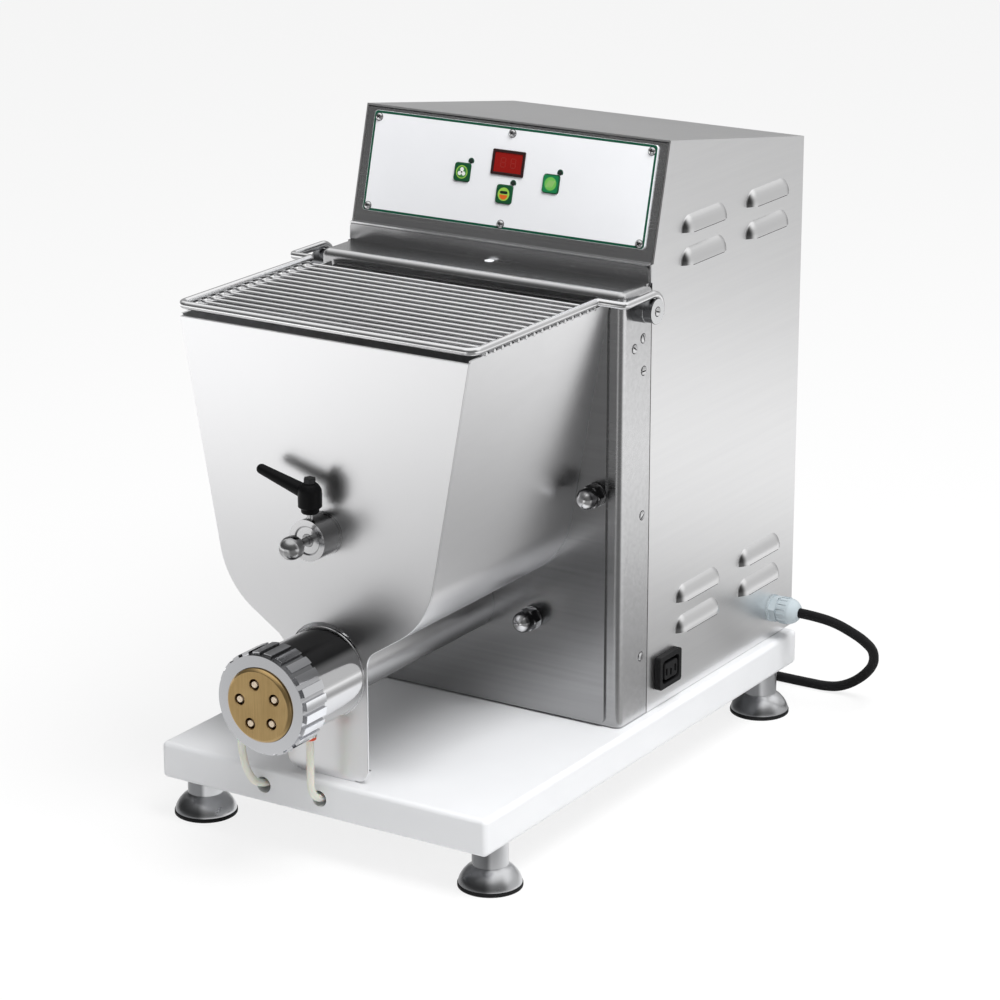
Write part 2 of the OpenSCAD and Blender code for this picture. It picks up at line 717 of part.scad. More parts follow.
module hopper_front() {
    color("silver") place() difference() {
        union() {
            prism_y(front_outline, hopper_y, walls_y);
            translate([-bracket_half + 12, hopper_y, 0.2]) cube([bracket_w - 24, 22, 2]);
        }
        neck_hole();
        rod_y(pin_d / 2 + 2, hopper_y - 1, walls_y + 1, 0, mixer_z);
        translate([0, hopper_y + 13, -1]) cylinder(h = 5, r = 3);
    }
}

module stud_places() {
    both_sides() for (p = [nut_upper, nut_lower]) translate([p[0], 0, p[1]]) children();
}

module hopper_plate() {
    plate_half = half - 13;
    top = hopper_h - 2;
    outline = rounded_outline([[plate_half, 2.5, 5], [plate_half, top, 3], [-plate_half, top, 3],
        [-plate_half, 2.5, 5]], 6);
    color("darkgray") place() difference() {
        prism_y(outline, hopper_back, frame_y);
        rod_y(shaft_d / 2 + 0.5, hopper_back - 1, frame_y + 1, 0, auger_z);
        rod_y(shaft_d / 2 + 0.5, hopper_back - 1, frame_y + 1, 0, mixer_z);
        stud_places() rod_y(stud_r + fit, hopper_back - 1, frame_y + 1);
    }
}

module fixing_studs() {
    color("silver") place() stud_places() rod_y(stud_r, hopper_back - 12, support_y + 10);
}

module dome_nuts() {
    nut_r = 8.3;
    color("silver") place() stud_places() {
        difference() {
            rod_y(9.5, hopper_back - 2, hopper_back);
            rod_y(stud_r + fit, hopper_back - 3, hopper_back + 1);
        }
        difference() {
            union() {
                translate([0, hopper_back - 2, 0]) rotate([90, 0, 0]) cylinder(h = 8, r = 9.2, $fn = 6);
                rod_y(nut_r, hopper_back - 14, hopper_back - 10);
                translate([0, hopper_back - 14, 0]) sphere(nut_r);
            }
            rod_y(stud_r + fit, hopper_back - 13, hopper_back + 1);
        }
    }
}

// ---------- extruder ----------

// The tube that the auger turns in, with the male thread for the ring nut.
module auger_barrel() {
    color("silver") place() difference() {
        union() {
            rod_y(barrel_r, nut_back - 2, walls_y, 0, auger_z);
            rod_y(thread_d / 2, thread_front, nut_back - 2, 0, auger_z);
        }
        rod_y(bore_r, thread_front - 1, walls_y + 1, 0, auger_z);
    }
}

// Where a hose fitting is screwed in: [angle about the auger's axis, Y].
fitting_places = [[-90, -10.5], [205, -16]];

module at_fittings() {
    for (f = fitting_places)
        translate([0, f[1], auger_z]) rotate([0, -f[0], 0]) translate([barrel_d / 2, 0, 0])
            rotate([0, 90, 0]) children();
}

module cooling_jacket() {
    color("silver") place() difference() {
        rod_y(barrel_d / 2, nut_back + gap, walls_y, 0, auger_z);
        rod_y(barrel_r + seat, nut_back - 5, walls_y + 1, 0, auger_z);
        difference() {
            rod_y(barrel_d / 2 - 3, nut_back + 8, walls_y - 6, 0, auger_z);
            rod_y(barrel_r + 2.5, nut_back + 7, walls_y - 5, 0, auger_z);
        }
        at_fittings() translate([0, 0, -4]) cylinder(h = 8, r = 4 + seat);
    }
}

// A screw along Y: a core with one helical flight.
module helical_flight(core_r, out_r, pitch, len, flight, turns_per) {
    arc = 360 * flight / pitch;
    sector = concat([[0, 0]], [for (i = [0:5]) out_r * [cos(arc * i / 5), sin(arc * i / 5)]]);
    rotate([-90, 0, 0]) linear_extrude(len, twist = -360 * len / pitch,
        slices = round(turns_per * len / pitch)) union() {
            circle(core_r, $fn = 24);
            polygon(sector);
        }
}

module auger() {
    color("silver") place() translate([0, auger_front, auger_z])
        helical_flight(11, auger_d / 2, auger_pitch, hopper_back - 1 - auger_front, 7, 14);
}

module auger_shaft() {
    color("silver") place() difference() {
        rod_y(shaft_d / 2, hopper_back - 1, box_y + box_d + 4, 0, auger_z);
        rod_y(3, box_y + box_d - 12, box_y + box_d + 5, 0, auger_z);
    }
}

module auger_gear() {
    color("gray") place() translate([0, gear_y, auger_z])
        spur_gear(auger_teeth, shaft_d / 2, gear_w, 90);
}

module ring_nut() {
    face_r = nut_d / 2 - 2;
    tooth = 360 / nut_teeth;
    color("silver") place() translate([0, 0, auger_z]) difference() {
        union() {
            rod_y(face_r, -nut_front, nut_back);
            difference() {
                rod_y(nut_d / 2, -nut_front + 3, nut_back);
                for (i = [0:nut_teeth - 1]) rotate([0, i * tooth, 0])
                    translate([face_r - 0.5, -nut_front - 1, -1.9]) cube([6, nut_len + 2, 3.8]);
            }
        }
        rod_y(die_d / 2 + gap, -nut_front - 1, nut_back + 1);
        rod_y(thread_d / 2 + gap, -nut_front + nut_lip, nut_back + 1);
    }
}

module at_die_holes() {
    for (i = [0:4]) rotate([0, 72 * i + die_turn, 0]) translate([0, 0, die_circle_r]) children();
}

die_back = thread_front;
die_edge = 2;                    // bevel round the die's face
insert_r = 6.6;
insert_t = 4;

module die() {
    color("goldenrod") place() translate([0, 0, auger_z]) difference() {
        union() {
            translate([0, -die_front, 0]) rotate([-90, 0, 0])
                cylinder(h = die_edge, r1 = die_d / 2 - die_edge, r2 = die_d / 2);
            rod_y(die_d / 2, -die_front + die_edge, die_back - die_flange_t);
            rod_y(die_flange_d / 2, die_back - die_flange_t, die_back);
        }
        at_die_holes() {
            rod_y(die_hole_d / 2, -die_front - 1, die_back + 1);
            rod_y(insert_r + 0.05, die_back - insert_t, die_back + 1);
        }
    }
}

// Each insert is a pin on a three-armed holder that rests in the back of its hole.
module die_inserts() {
    color("silver") place() translate([0, 0, auger_z]) at_die_holes() {
        rod_y(die_pin_d / 2, -die_front + 0.3, die_back - insert_t);
        intersection() {
            rod_y(insert_r, die_back - insert_t, die_back);
            for (a = [0, 120, 240]) rotate([0, a, 0])
                translate([0, die_back - insert_t, -1.2]) cube([8, insert_t, 2.4]);
        }
        rod_y(die_pin_d / 2 - 0.5, die_back - insert_t, die_back);
    }
}

// ---------- mixer ----------

mixer_front = walls_y + 4;
pin_reach = walls_y + 22;

module mixer_shaft() {
    color("silver") place() translate([0, 0, mixer_z]) difference() {
        rod_y(shaft_d / 2, mixer_front, gear_y + gear_w + 4);
        rod_y(pin_d / 2 + fit, mixer_front - 1, pin_reach + 4);
    }
}

paddle_rows = [for (i = [0:4]) [34 + 36 * i, 60 + 144 * i]];

module mixer_paddles() {
    color("silver") place() translate([0, 0, mixer_z]) for (p = paddle_rows)
        translate([0, p[0], 0]) rotate([0, p[1], 0]) {
            difference() {
                cylinder(h = mixer_r - 8, r = 5);
                rod_y(shaft_d / 2 + seat, -10, 10);
            }
            translate([0, 0, mixer_r - 24]) rotate(35) translate([-11, -2, 0])
                cube([22, 4, 24 - 2]);
        }
}

module mixer_gear() {
    color("gray") place() translate([0, gear_y, mixer_z])
        spur_gear(mixer_teeth, shaft_d / 2, gear_w, -90 + 180 / mixer_teeth);
}

module front_boss() {
    color("silver") place() translate([0, 0, mixer_z]) difference() {
        union() {
            rod_y(boss_d / 2, hopper_y - boss_len, hopper_y);
            rod_y(boss_d / 2 + 0.8, hopper_y - 2, hopper_y);
            rod_y(pin_d / 2 + 1.7, hopper_y, walls_y + 2);
        }
        rod_y(pin_d / 2 + fit, hopper_y - boss_len - 1, walls_y + 3);
        rod_y(boss_d / 2 - 5, hopper_y - boss_len - 1, hopper_y - boss_len + 1.3);
        translate([0, lever_y, 0]) cylinder(h = boss_d, r = lever_stud_r + fit);
    }
}

module pivot_pin() {
    knob_y = hopper_y - boss_len - 20;
    color("silver") place() translate([0, 0, mixer_z]) {
        rod_y(pin_d / 2, hopper_y - boss_len + 1, pin_reach);
        rod_y(3, knob_y, hopper_y - boss_len + 2);
        rod_y(knob_d / 2, knob_y, knob_y + 4);
        translate([0, knob_y, 0]) sphere(knob_d / 2);
        translate([0, knob_y + 4, 0]) rotate([-90, 0, 0]) cylinder(h = 5, r1 = knob_d / 2, r2 = 6);
    }
}

lever_y = hopper_y - boss_len + 5;
lever_base = boss_d / 2 + 1.2;
lever_stud_r = 2.5;
hub_h = 26;

// A clamping lever: an upright hub with a rising arm.
module clamp_lever() {
    hub = [[0, 3.2], [6, 3.2], [6.8, 4.2], [6.8, 6.4], [9, 8.4], [9.1, 18], [8.7, 21.5], [7, 24.5],
        [5.5, hub_h], [0, hub_h]];
    color("black") place() translate([0, lever_y, mixer_z + lever_base]) difference() {
        union() {
            rotate_extrude() polygon(hub);
            hull() {
                translate([-5, 0, 19]) sphere(5.6, $fn = 24);
                translate([-43.5, 0, 30]) sphere(3.9, $fn = 24);
            }
        }
        translate([0, 0, -1]) cylinder(h = hub_h + 5, r = lever_stud_r + fit);
    }
}

module lever_stud() {
    stud_z = pin_d / 2 + 0.4;
    color("dimgray") place() translate([0, lever_y, mixer_z]) {
        translate([0, 0, stud_z]) cylinder(h = lever_base + hub_h - stud_z, r = lever_stud_r);
        translate([0, 0, lever_base + hub_h]) cylinder(h = 4.4, r = 4.8, $fn = 6);
    }
}

// ---------- lid ----------

corner_r = 8;

module corner_bend(x, y, from, r = corner_r) {
    translate([x, y, 0]) rotate(from) rotate_extrude(angle = 90) translate([r, 0]) circle(rod_d / 2);
}

module lid_side() {
    r = rod_d / 2;
    out = [lid_half, lid_back, rod_z];
    arm = [hook_x, lid_back + 5, pivot_z + hook_r];
    translate([0, 0, rod_z]) corner_bend(lid_half - corner_r, lid_front + corner_r, -90);
    rod([lid_half, lid_front + corner_r, rod_z], out, r);
    translate(out) sphere(r * 1.01);
    rod(out, arm, r);
    translate(arm) sphere(r * 1.01);
    rod_y(r, arm[1], pivot_y, hook_x, arm[2]);
    translate([hook_x, pivot_y, pivot_z]) rotate([0, -90, 0])
        rotate_extrude(angle = 115) translate([hook_r, 0]) circle(r);
}

module lid_grid() {
    pitch = (lid_back - 4 - lid_front - 16) / (wires - 1);
    color("silver") place() {
        both_sides() lid_side();
        rod_x(rod_d / 2, -lid_half + corner_r, lid_half - corner_r, lid_front, rod_z);
        for (i = [0:wires - 1])
            rod_x(wire_d / 2, -lid_half - 1.5, lid_half + 1.5, lid_front + 16 + i * pitch, wire_z);
    }
}

module lid_bosses() {
    color("silver") place() both_sides() difference() {
        rod_x(pivot_d / 2, half, half + pivot_len, pivot_y, pivot_z);
        rod_x(2.4 + fit, half - 1, half + pivot_len + 1, pivot_y, pivot_z);
        difference() {
            rod_x(pivot_d / 2 + 1, hook_x - rod_d / 2 - 0.5, hook_x + rod_d / 2 + 0.5, pivot_y, pivot_z);
            rod_x(pivot_d / 2 - groove, half, half + pivot_len, pivot_y, pivot_z);
        }
    }
}

// ---------- water cooling ----------

module water_fittings() {
    color("silver") place() at_fittings() difference() {
        union() {
            translate([0, 0, -3]) cylinder(h = 4, r = 4);
            cylinder(h = 10, r = fitting_d / 2);
        }
        translate([0, 0, -4]) cylinder(h = 16, r = tube_d / 2 + fit);
    }
}

module release_collars() {
    color("red") place() at_fittings() translate([0, 0, 10]) difference() {
        cylinder(h = 2.5, r = fitting_d / 2 - 0.6);
        translate([0, 0, -1]) cylinder(h = 5, r = tube_d / 2 + fit);
    }
}

// The hoses run through the base plate and rise into the housing.
hose_end = case_back - 12;
hose_out_z = 40;
hose_bend = 12;
function bend(c, r, from, to, n = 4) =
    [for (i = [0:n]) let (a = from + (to - from) * i / n) c + [0, r * cos(a), r * sin(a)]];
function hose_tail(x) = concat(
    bend([x, hose_rise_y - hose_bend, hose_z + hose_bend], hose_bend, -90, 0),
    bend([x, hose_rise_y + hose_bend, hose_out_z - hose_bend], hose_bend, 180, 90),
    [[x, hose_end, hose_out_z]]);
right_hose = concat(
    [[0, -10.5, auger_z - barrel_d / 2 - 2], [0, -10.5, 20], [0, -10.5, 8]],
    bend([0, 6.5, 1.5], 17, 180, 270), [[0, 60, hose_z], [0, 240, hose_z]], hose_tail(0));
left_start = [-(barrel_d / 2 + 2) * cos(25), -16, auger_z - (barrel_d / 2 + 2) * sin(25)];
left_hose = concat(
    [left_start, left_start + 12 * [-cos(25), 0, -sin(25)], [-52, -17, 56], [-57, -18, 44],
     [-59, -18, 30], [-58.5, -17, 16], [-57, -14, 2], [-54.5, -8, -9], [-52.6, 3, -14.4],
     [hose_left, 16, hose_z], [hose_left, 60, hose_z], [hose_left, 240, hose_z]],
    hose_tail(hose_left));

module cooling_tubes() {
    color("ivory") place() {
        swept_tube(right_hose, tube_d / 2, 12, [1, 0, 0]);
        swept_tube(left_hose, tube_d / 2, 12, [0, 0.7, 0.3]);
    }
}

module rear_inlets() {
    color("silver") place() for (x = [hose_left, 0]) translate([x, 0, hose_out_z]) difference() {
        union() {
            rod_y(6, case_back - 18, case_back);
            rod_y(8.5, case_back, case_back + 3);
            rod_y(fitting_d / 2 + 1, case_back + 3, case_back + inlet_out);
        }
        rod_y(tube_d / 2 + fit, case_back - 19, case_back + inlet_out + 1);
    }
}

// ---------- drive ----------

module bearing_plate() {
    color("gray") place() difference() {
        translate([-support_half, support_y, 0.2]) cube([2 * support_half, support_t, support_h]);
        for (z = [auger_z, mixer_z]) rod_y(21 + seat, support_y - 1, support_y + support_t + 1, 0, z);
        stud_places() rod_y(stud_r + fit, support_y - 1, support_y + support_t + 1);
    }
}

module shaft_bearings() {
    color("silver") place() for (z = [auger_z, mixer_z]) difference() {
        rod_y(21, support_y, support_y + support_t, 0, z);
        rod_y(shaft_d / 2 + 0.08, support_y - 1, support_y + support_t + 1, 0, z);
    }
}

wheel_teeth = 20;
worm_r = 13;                     // pitch radius of the worm
wheel_r = worm_dist - worm_r;    // pitch radius of the wheel
wheel_tip = wheel_r + 2.4;
worm_lead = 2 * PI * wheel_r / wheel_teeth;
worm_flight = 2.5;
worm_bottom = auger_z - 2.5 * worm_lead + worm_flight / 2;
worm_top = worm_bottom + 5 * worm_lead;
box_wall = 6;
box_half = wheel_tip + 3 + box_wall;
rotor_shaft_r = 7;
rotor_r = 24;

module gearbox() {
    box_x1 = worm_x + worm_r + 15;
    box_z0 = auger_z - box_half;
    color("darkgray") place() difference() {
        union() {
            translate([-box_half, box_y, box_z0]) cube([box_x1 + box_half, box_d, 2 * box_half]);
            translate([worm_x, worm_y, auger_z + 20]) cylinder(h = motor_z - auger_z - 20, r = 40);
            translate([-30, box_y + 8, 0.2]) cube([60, box_d - 16, box_z0]);
        }
        translate([box_wall - box_half, box_y + box_wall, box_z0 + box_wall])
            cube([box_x1 + box_half - 2 * box_wall, box_d - 2 * box_wall, 2 * (box_half - box_wall)]);
        rod_y(shaft_d / 2 + fit, box_y - 1, box_y + box_d + 1, 0, auger_z);
        translate([worm_x, worm_y, auger_z]) cylinder(h = motor_z, r = rotor_shaft_r + fit);
    }
}

module worm_wheel() {
    tooth = 360 / wheel_teeth;
    slot = worm_lead - 5;
    color("goldenrod") place() translate([0, worm_y - 9, auger_z]) difference() {
        rod_y(wheel_tip, 0, 18);
        rod_y(shaft_d / 2 + seat, -1, 19);
        for (i = [0:wheel_teeth - 1]) rotate([0, tooth * i, 0])
            translate([wheel_r - 3.4, -1, -slot / 2]) cube([8, 20, slot]);
    }
}

module worm() {
    color("silver") place() translate([worm_x, worm_y, worm_bottom]) rotate([90, 0, 0])
        helical_flight(worm_r - 3.4, worm_r + 2.6, worm_lead, worm_top - worm_bottom, worm_flight, 14);
}

module motor_body() {
    fins = 12;
    color("slategray") place() translate([worm_x, worm_y, motor_z]) difference() {
        union() {
            cylinder(h = 10, r = motor_d / 2);
            cylinder(h = motor_h, r = motor_d / 2 - 6);
            for (i = [0:fins - 1]) rotate(360 / fins * i)
                translate([0, -1.5, 10]) cube([motor_d / 2 - 0.5, 3, motor_h - 24]);
            translate([0, 0, motor_h]) cylinder(h = 34, r = motor_d / 2 - 4);
        }
        translate([0, 0, 8]) cylinder(h = motor_h - 16, r = rotor_r + 1);
        translate([0, 0, -1]) cylinder(h = motor_h + 2, r = rotor_shaft_r + fit);
        translate([0, 0, motor_h]) cylinder(h = 31, r = motor_d / 2 - 7);
        for (r = [14, 26, 38]) translate([0, 0, motor_h + 28]) difference() {
            cylinder(h = 10, r = r + 3);
            translate([0, 0, -1]) cylinder(h = 12, r = r);
            for (a = [0, 90]) rotate(a) translate([-60, -2, -1]) cube([120, 4, 12]);
        }
    }
}

module motor_rotor() {
    color("dimgray") place() translate([worm_x, worm_y, motor_z]) {
        translate([0, 0, 28]) cylinder(h = motor_h - 56, r = rotor_r);
        translate([0, 0, worm_top - motor_z])
            cylinder(h = motor_z - worm_top + motor_h + 24, r = rotor_shaft_r);
    }
}

module motor_fan() {
    color("black") place() translate([worm_x, worm_y, motor_z + motor_h + 3]) difference() {
        union() {
            cylinder(h = 18, r = 12);
            cylinder(h = 2, r = 44);
            for (i = [0:6]) rotate(360 / 7 * i) translate([8, -1, 0]) cube([36, 2, 16]);
        }
        translate([0, 0, -1]) cylinder(h = 20, r = rotor_shaft_r + seat);
    }
}

module run_capacitor() {
    can_h = 90;
    can_r = 22;
    color("lightgray") place() translate([-half + can_r + 28, case_back - can_r - 60, 0.2]) {
        cylinder(h = can_h, r = can_r);
        translate([0, 0, can_h]) cylinder(h = 4, r = can_r - 3);
        for (x = [-7, 7]) translate([x - 3, -0.5, can_h + 4]) cube([6, 1, 9]);
    }
}

// ---------- mains ----------

module power_outlet() {
    color("black") place() translate([half, outlet_y, outlet_z]) rotate([0, 90, 0]) rotate(90)
        difference() {
            union() {
                rounded_plate(outlet_face[0], outlet_face[1], 5.5, 2.5);
                translate([-outlet_body[0] / 2, -outlet_body[1] / 2, -20])
                    cube([outlet_body[0], outlet_body[1], 20]);
            }
            translate([0, 0, -11]) difference() {
                rounded_plate(26.4, 19.4, 20, 3.5);
                translate([0, 0, -1]) rounded_plate(20.6, 13.6, 22, 2.8);
            }
            for (x = [-7, 7]) translate([x - 1.25, -3.5, -10]) cube([2.5, 6, 20]);
            translate([-1.25, -5, -10]) cube([2.5, 6, 20]);
        }
}

gland_len = 27;

module cable_gland() {
    color("lightsteelblue") place() translate([half, gland_y, gland_z]) rotate([0, 90, 0])
        difference() {
            union() {
                translate([0, 0, -10]) cylinder(h = 12, r = gland_thread);
                cylinder(h = 2.2, r = 11.6);
                translate([0, 0, 2.2]) rotate(20) cylinder(h = 5.6, r = 11.8, $fn = 6);
                translate([0, 0, 7.8]) cylinder(h = 1.6, r = 9.4);
                translate([0, 0, 9.4]) cylinder(h = 8, r = 10.9);
                intersection() {
                    translate([0, 0, 16.2]) sphere(11.1);
                    translate([0, 0, 17.4]) cylinder(h = gland_len - 17.4, r = 10.8);
                }
            }
            translate([0, 0, -11]) cylinder(h = 60, r = cord_r + 0.05);
        }
}

module mains_cord() {
    color("black") {
        swept_tube(lead_route, cord_r, 12, [0, 0, 1]);
        swept_tube(tail_route, cord_r, 12, [0, 0, 1]);
    }
}

module cord_coil() {
    color("black") translate(coil_pos) rotate_extrude() translate([coil_mid_r - coil_w / 2, 0])
        polygon([[0, 3], [3, 0], [coil_w - 3, 0], [coil_w, 3], [coil_w, coil_h - 3],
            [coil_w - 3, coil_h], [3, coil_h], [0, coil_h - 3]]);
}

module mains_plug() {
    color("black") translate(plug_pos) rotate([0, -90, 4]) {
        cylinder(h = 16, r1 = 6.5, r2 = 9);
        translate([0, 0, 16]) cylinder(h = 24, r = 18.4);
        for (y = [-9.5, 9.5]) translate([0, y, 40]) cylinder(h = 19, r = 2.4);
    }
}

base_plate();
foot_bells();
foot_pads();
foot_bolts();
casing_cover();
back_panel();
case_screws();
front_frame();
fascia_panel();
faceplate();
faceplate_screws();
display_bezel();
display_window();
button_left();
button_middle();
button_right();
indicator_lenses();
control_board();
hopper_walls();
hopper_front();
hopper_plate();
fixing_studs();
dome_nuts();
auger_barrel();
cooling_jacket();
auger();
auger_shaft();
auger_gear();
ring_nut();
die();
die_inserts();
mixer_shaft();
mixer_paddles();
mixer_gear();
front_boss();
pivot_pin();
clamp_lever();
lever_stud();
lid_grid();
lid_bosses();
water_fittings();
release_collars();
cooling_tubes();
rear_inlets();
bearing_plate();
shaft_bearings();
gearbox();
worm_wheel();
worm();
motor_body();
motor_rotor();
motor_fan();
run_capacitor();
power_outlet();
cable_gland();
mains_cord();
cord_coil();
mains_plug();
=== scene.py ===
# %% [markdown]
# # A bench-top pasta maker
# This notebook dresses the solid model of an electric pasta maker. The solids already have the
# right sizes and joints. Here the visible pieces get crisp edges, small details and finishes.
# Distances in the drawings are in millimetres, and Blender's are in metres.

# %% Load the solid model
import json
from math import cos, pi, radians, sin, tau

import bmesh
import bpy
from mathutils import Matrix, Vector


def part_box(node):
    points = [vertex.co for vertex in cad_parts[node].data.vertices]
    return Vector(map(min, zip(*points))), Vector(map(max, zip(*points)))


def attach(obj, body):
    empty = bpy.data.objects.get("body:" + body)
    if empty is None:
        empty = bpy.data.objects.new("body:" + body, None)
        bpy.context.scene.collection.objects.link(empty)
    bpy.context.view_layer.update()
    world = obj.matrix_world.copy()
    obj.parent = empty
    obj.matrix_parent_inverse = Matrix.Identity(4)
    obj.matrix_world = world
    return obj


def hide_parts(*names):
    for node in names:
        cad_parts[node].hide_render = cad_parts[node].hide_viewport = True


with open("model.json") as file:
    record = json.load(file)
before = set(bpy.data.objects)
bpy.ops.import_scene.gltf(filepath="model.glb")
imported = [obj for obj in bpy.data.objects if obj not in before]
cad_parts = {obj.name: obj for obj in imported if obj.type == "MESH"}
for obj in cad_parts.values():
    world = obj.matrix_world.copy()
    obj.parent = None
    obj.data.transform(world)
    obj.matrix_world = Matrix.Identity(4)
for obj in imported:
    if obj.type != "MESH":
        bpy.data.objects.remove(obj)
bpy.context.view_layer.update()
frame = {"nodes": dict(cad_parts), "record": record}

# %% [markdown]
# ## The camera
# A product view is taken from well back with a long lens, so that upright edges stay nearly
# parallel. The lens is 124 mm on a 36 mm sensor, a little above the machine and to its right.

# %% Make the camera
scene = bpy.context.scene


def new_piece(name, data):
    """An object in the scene for finished data: a mesh, a curve, a lamp or a camera."""
    piece = bpy.data.objects.new(name, data)
    scene.collection.objects.link(piece)
    return piece


def mesh_of(name, points, edges=(), faces=()):
    """A mesh from plain lists."""
    mesh = bpy.data.meshes.new(name)
    mesh.from_pydata(points, edges, faces)
    return mesh


camera_data = bpy.data.cameras.new("studio_camera")
camera_data.lens, camera_data.sensor_width = 124.06, 36.0
camera = new_piece("studio_camera", camera_data)
camera.location = (1.409, -2.195, 1.063)
camera.rotation_euler = (radians(72.32), 0, radians(32.22))
scene.camera = camera
print("camera at", tuple(camera.location))

# %% [markdown]
# ## Where things are
# The workshop drawing measures from the front edge of the base plate's top. One small function
# turns its millimetres into Blender's metres, so every later number can be read off the drawing.

# %% Turn drawing millimetres into metres
PLATE_FRONT = -217.0
PLATE_TOP = 67.0


def at(x, y, z):
    """A point of the drawing, in metres."""
    return Vector((x, y + PLATE_FRONT, z + PLATE_TOP)) / 1000


print("front edge of the plate:", at(0, 0, 0))

# %% [markdown]
# ## The mains lead
# The lead is a rubber cable of 8.5 mm. It leaves the gland at the side, hangs down to the table,
# runs behind the machine and is wound into a flat two-layer coil, with the plug beside it.
# A curve with a round bevel is the natural way to make a cable, because its length can be read.

# %% Helpers for smooth lines
def smooth_line(points, steps=6):
    """A rounded line through the points: a Catmull-Rom curve with even corners."""
    points = [Vector(p) for p in points]
    padded = [2 * points[0] - points[1], *points, 2 * points[-1] - points[-2]]
    line = []
    for a, b, c, d in zip(padded, padded[1:], padded[2:], padded[3:]):
        ta, tc = -(b - a).length ** 0.5, (c - b).length ** 0.5
        td = tc + (d - c).length ** 0.5
        for i in range(steps):
            t = tc * i / steps
            ab = a * (t / ta) + b * (1 - t / ta)
            bc = b * (1 - t / tc) + c * (t / tc)
            cd = c * ((td - t) / (td - tc)) + d * ((t - tc) / (td - tc))
            abc = ab * ((tc - t) / (tc - ta)) + bc * ((t - ta) / (tc - ta))
            bcd = bc * ((td - t) / td) + cd * (t / td)
            line.append(abc * (1 - t / tc) + bcd * (t / tc))
    return [*line, points[-1]]


def line_length(line):
    """The length along a line of points."""
    return sum((b - a).length for a, b in zip(line, line[1:]))


def bend(middle, radius, start, end, steps=5, plane=(1, 2)):
    """Points of a bend about a middle. The plane gives the axes that the angle runs in."""
    points = []
    for i in range(steps + 1):
        angle = radians(start + (end - start) * i / steps)
        point = list(middle)
        point[plane[0]] += radius * cos(angle)
        point[plane[1]] += radius * sin(angle)
        points.append(tuple(point))
    return points


def tube_curve(name, line, radius, sides=4):
    """A curve object of one open spline, with a round section."""
    data = bpy.data.curves.new(name, "CURVE")
    data.dimensions = "3D"
    data.bevel_depth = radius
    data.bevel_resolution = sides
    data.use_fill_caps = True
    spline = data.splines.new("POLY")
    spline.points.add(len(line) - 1)
    for point, place in zip(spline.points, line):
        point.co = (*place, 1)
    spline.use_smooth = True
    return new_piece(name, data)


# %% The route of the mains lead
CORD_D = 8.5
GLAND_TIP = (165.5, 249.0, 93.0)
HANGING = [
    GLAND_TIP, (173, 249, 92.9), (183, 249.3, 92.3), (193, 250.8, 90.6), (202, 254.2, 86.9),
    (209, 259.8, 81.2), (213.5, 267, 75), (216, 276, 67.4), (216.8, 286, 58.5),
    (214.5, 295, 48), (209, 303.5, 37.5), (201, 310, 27.5), (191.5, 314, 18.5),
    (181, 316, 11.2), (170, 316.5, 6.5), (158, 316.5, 4.6),
    *[(x, 316.5, 4.3) for x in (144, 114, 84, 54, 28)],
]
TO_PLUG = [
    (-44.6, 383, 13), (-47, 394, 13.6), (-53, 404, 14.8), (-62, 411.5, 16.3),
    (-73, 415.8, 17.6), (-85, 417, 18.4), (-98, 417, 18.5),
]
COIL_MIDDLE = (10.0, 372.0)
COIL_START, TOP_START = 55.5, 38.0
LAYER_TURNS, CLIMB, ALL_TURNS = 1.9, 0.25, 4.25
STEPS_A_TURN = 20


def coil_point(turn):
    """A point of the coil: inwards below, up in a short climb, and outwards above."""
    if turn <= LAYER_TURNS:
        radius, height = COIL_START - CORD_D * turn, CORD_D / 2
    elif turn <= LAYER_TURNS + CLIMB:
        share = (turn - LAYER_TURNS) / CLIMB
        ease = share * share * (3 - 2 * share)
        last = COIL_START - CORD_D * LAYER_TURNS
        radius, height = last + (TOP_START - last) * share, CORD_D * (0.5 + ease)
    else:
        radius, height = TOP_START + CORD_D * (turn - LAYER_TURNS - CLIMB), CORD_D * 1.5
    angle = -pi / 2 - 2 * pi * turn
    return (COIL_MIDDLE[0] + radius * cos(angle),
            COIL_MIDDLE[1] + radius * sin(angle), height)


turns = [i / STEPS_A_TURN for i in range(int(ALL_TURNS * STEPS_A_TURN) + 1)]
lead_points = [*HANGING, *[coil_point(t) for t in turns], *TO_PLUG]
lead_line = [p / 1000 for p in smooth_line(lead_points)]
mains_lead = tube_curve("mains_lead", lead_line, CORD_D / 2000, sides=5)
print("mains lead:", round(line_length(lead_line), 3), "m")

# %% [markdown]
# ## The two cooling hoses
# Water cools the barrel of the auger through two soft hoses of 6 mm. They leave the push-in
# fittings, bend into the front of the base plate and run through it to the back of the housing.

# %% The routes of the hoses
HOSE_D = 6.0
HOSE_Z = -15.0


def hose_inside(x):
    """The stretch through the base plate and up to the inlet at the back."""
    level = [(x, y, HOSE_Z) for y in (60, 150, 240, 340, 420)]
    return [*level, *bend((x, 440, -3), 12, -90, 0), *bend((x, 464, 28), 12, 180, 90),
            (x, 478, 40), (x, 490, 40)]


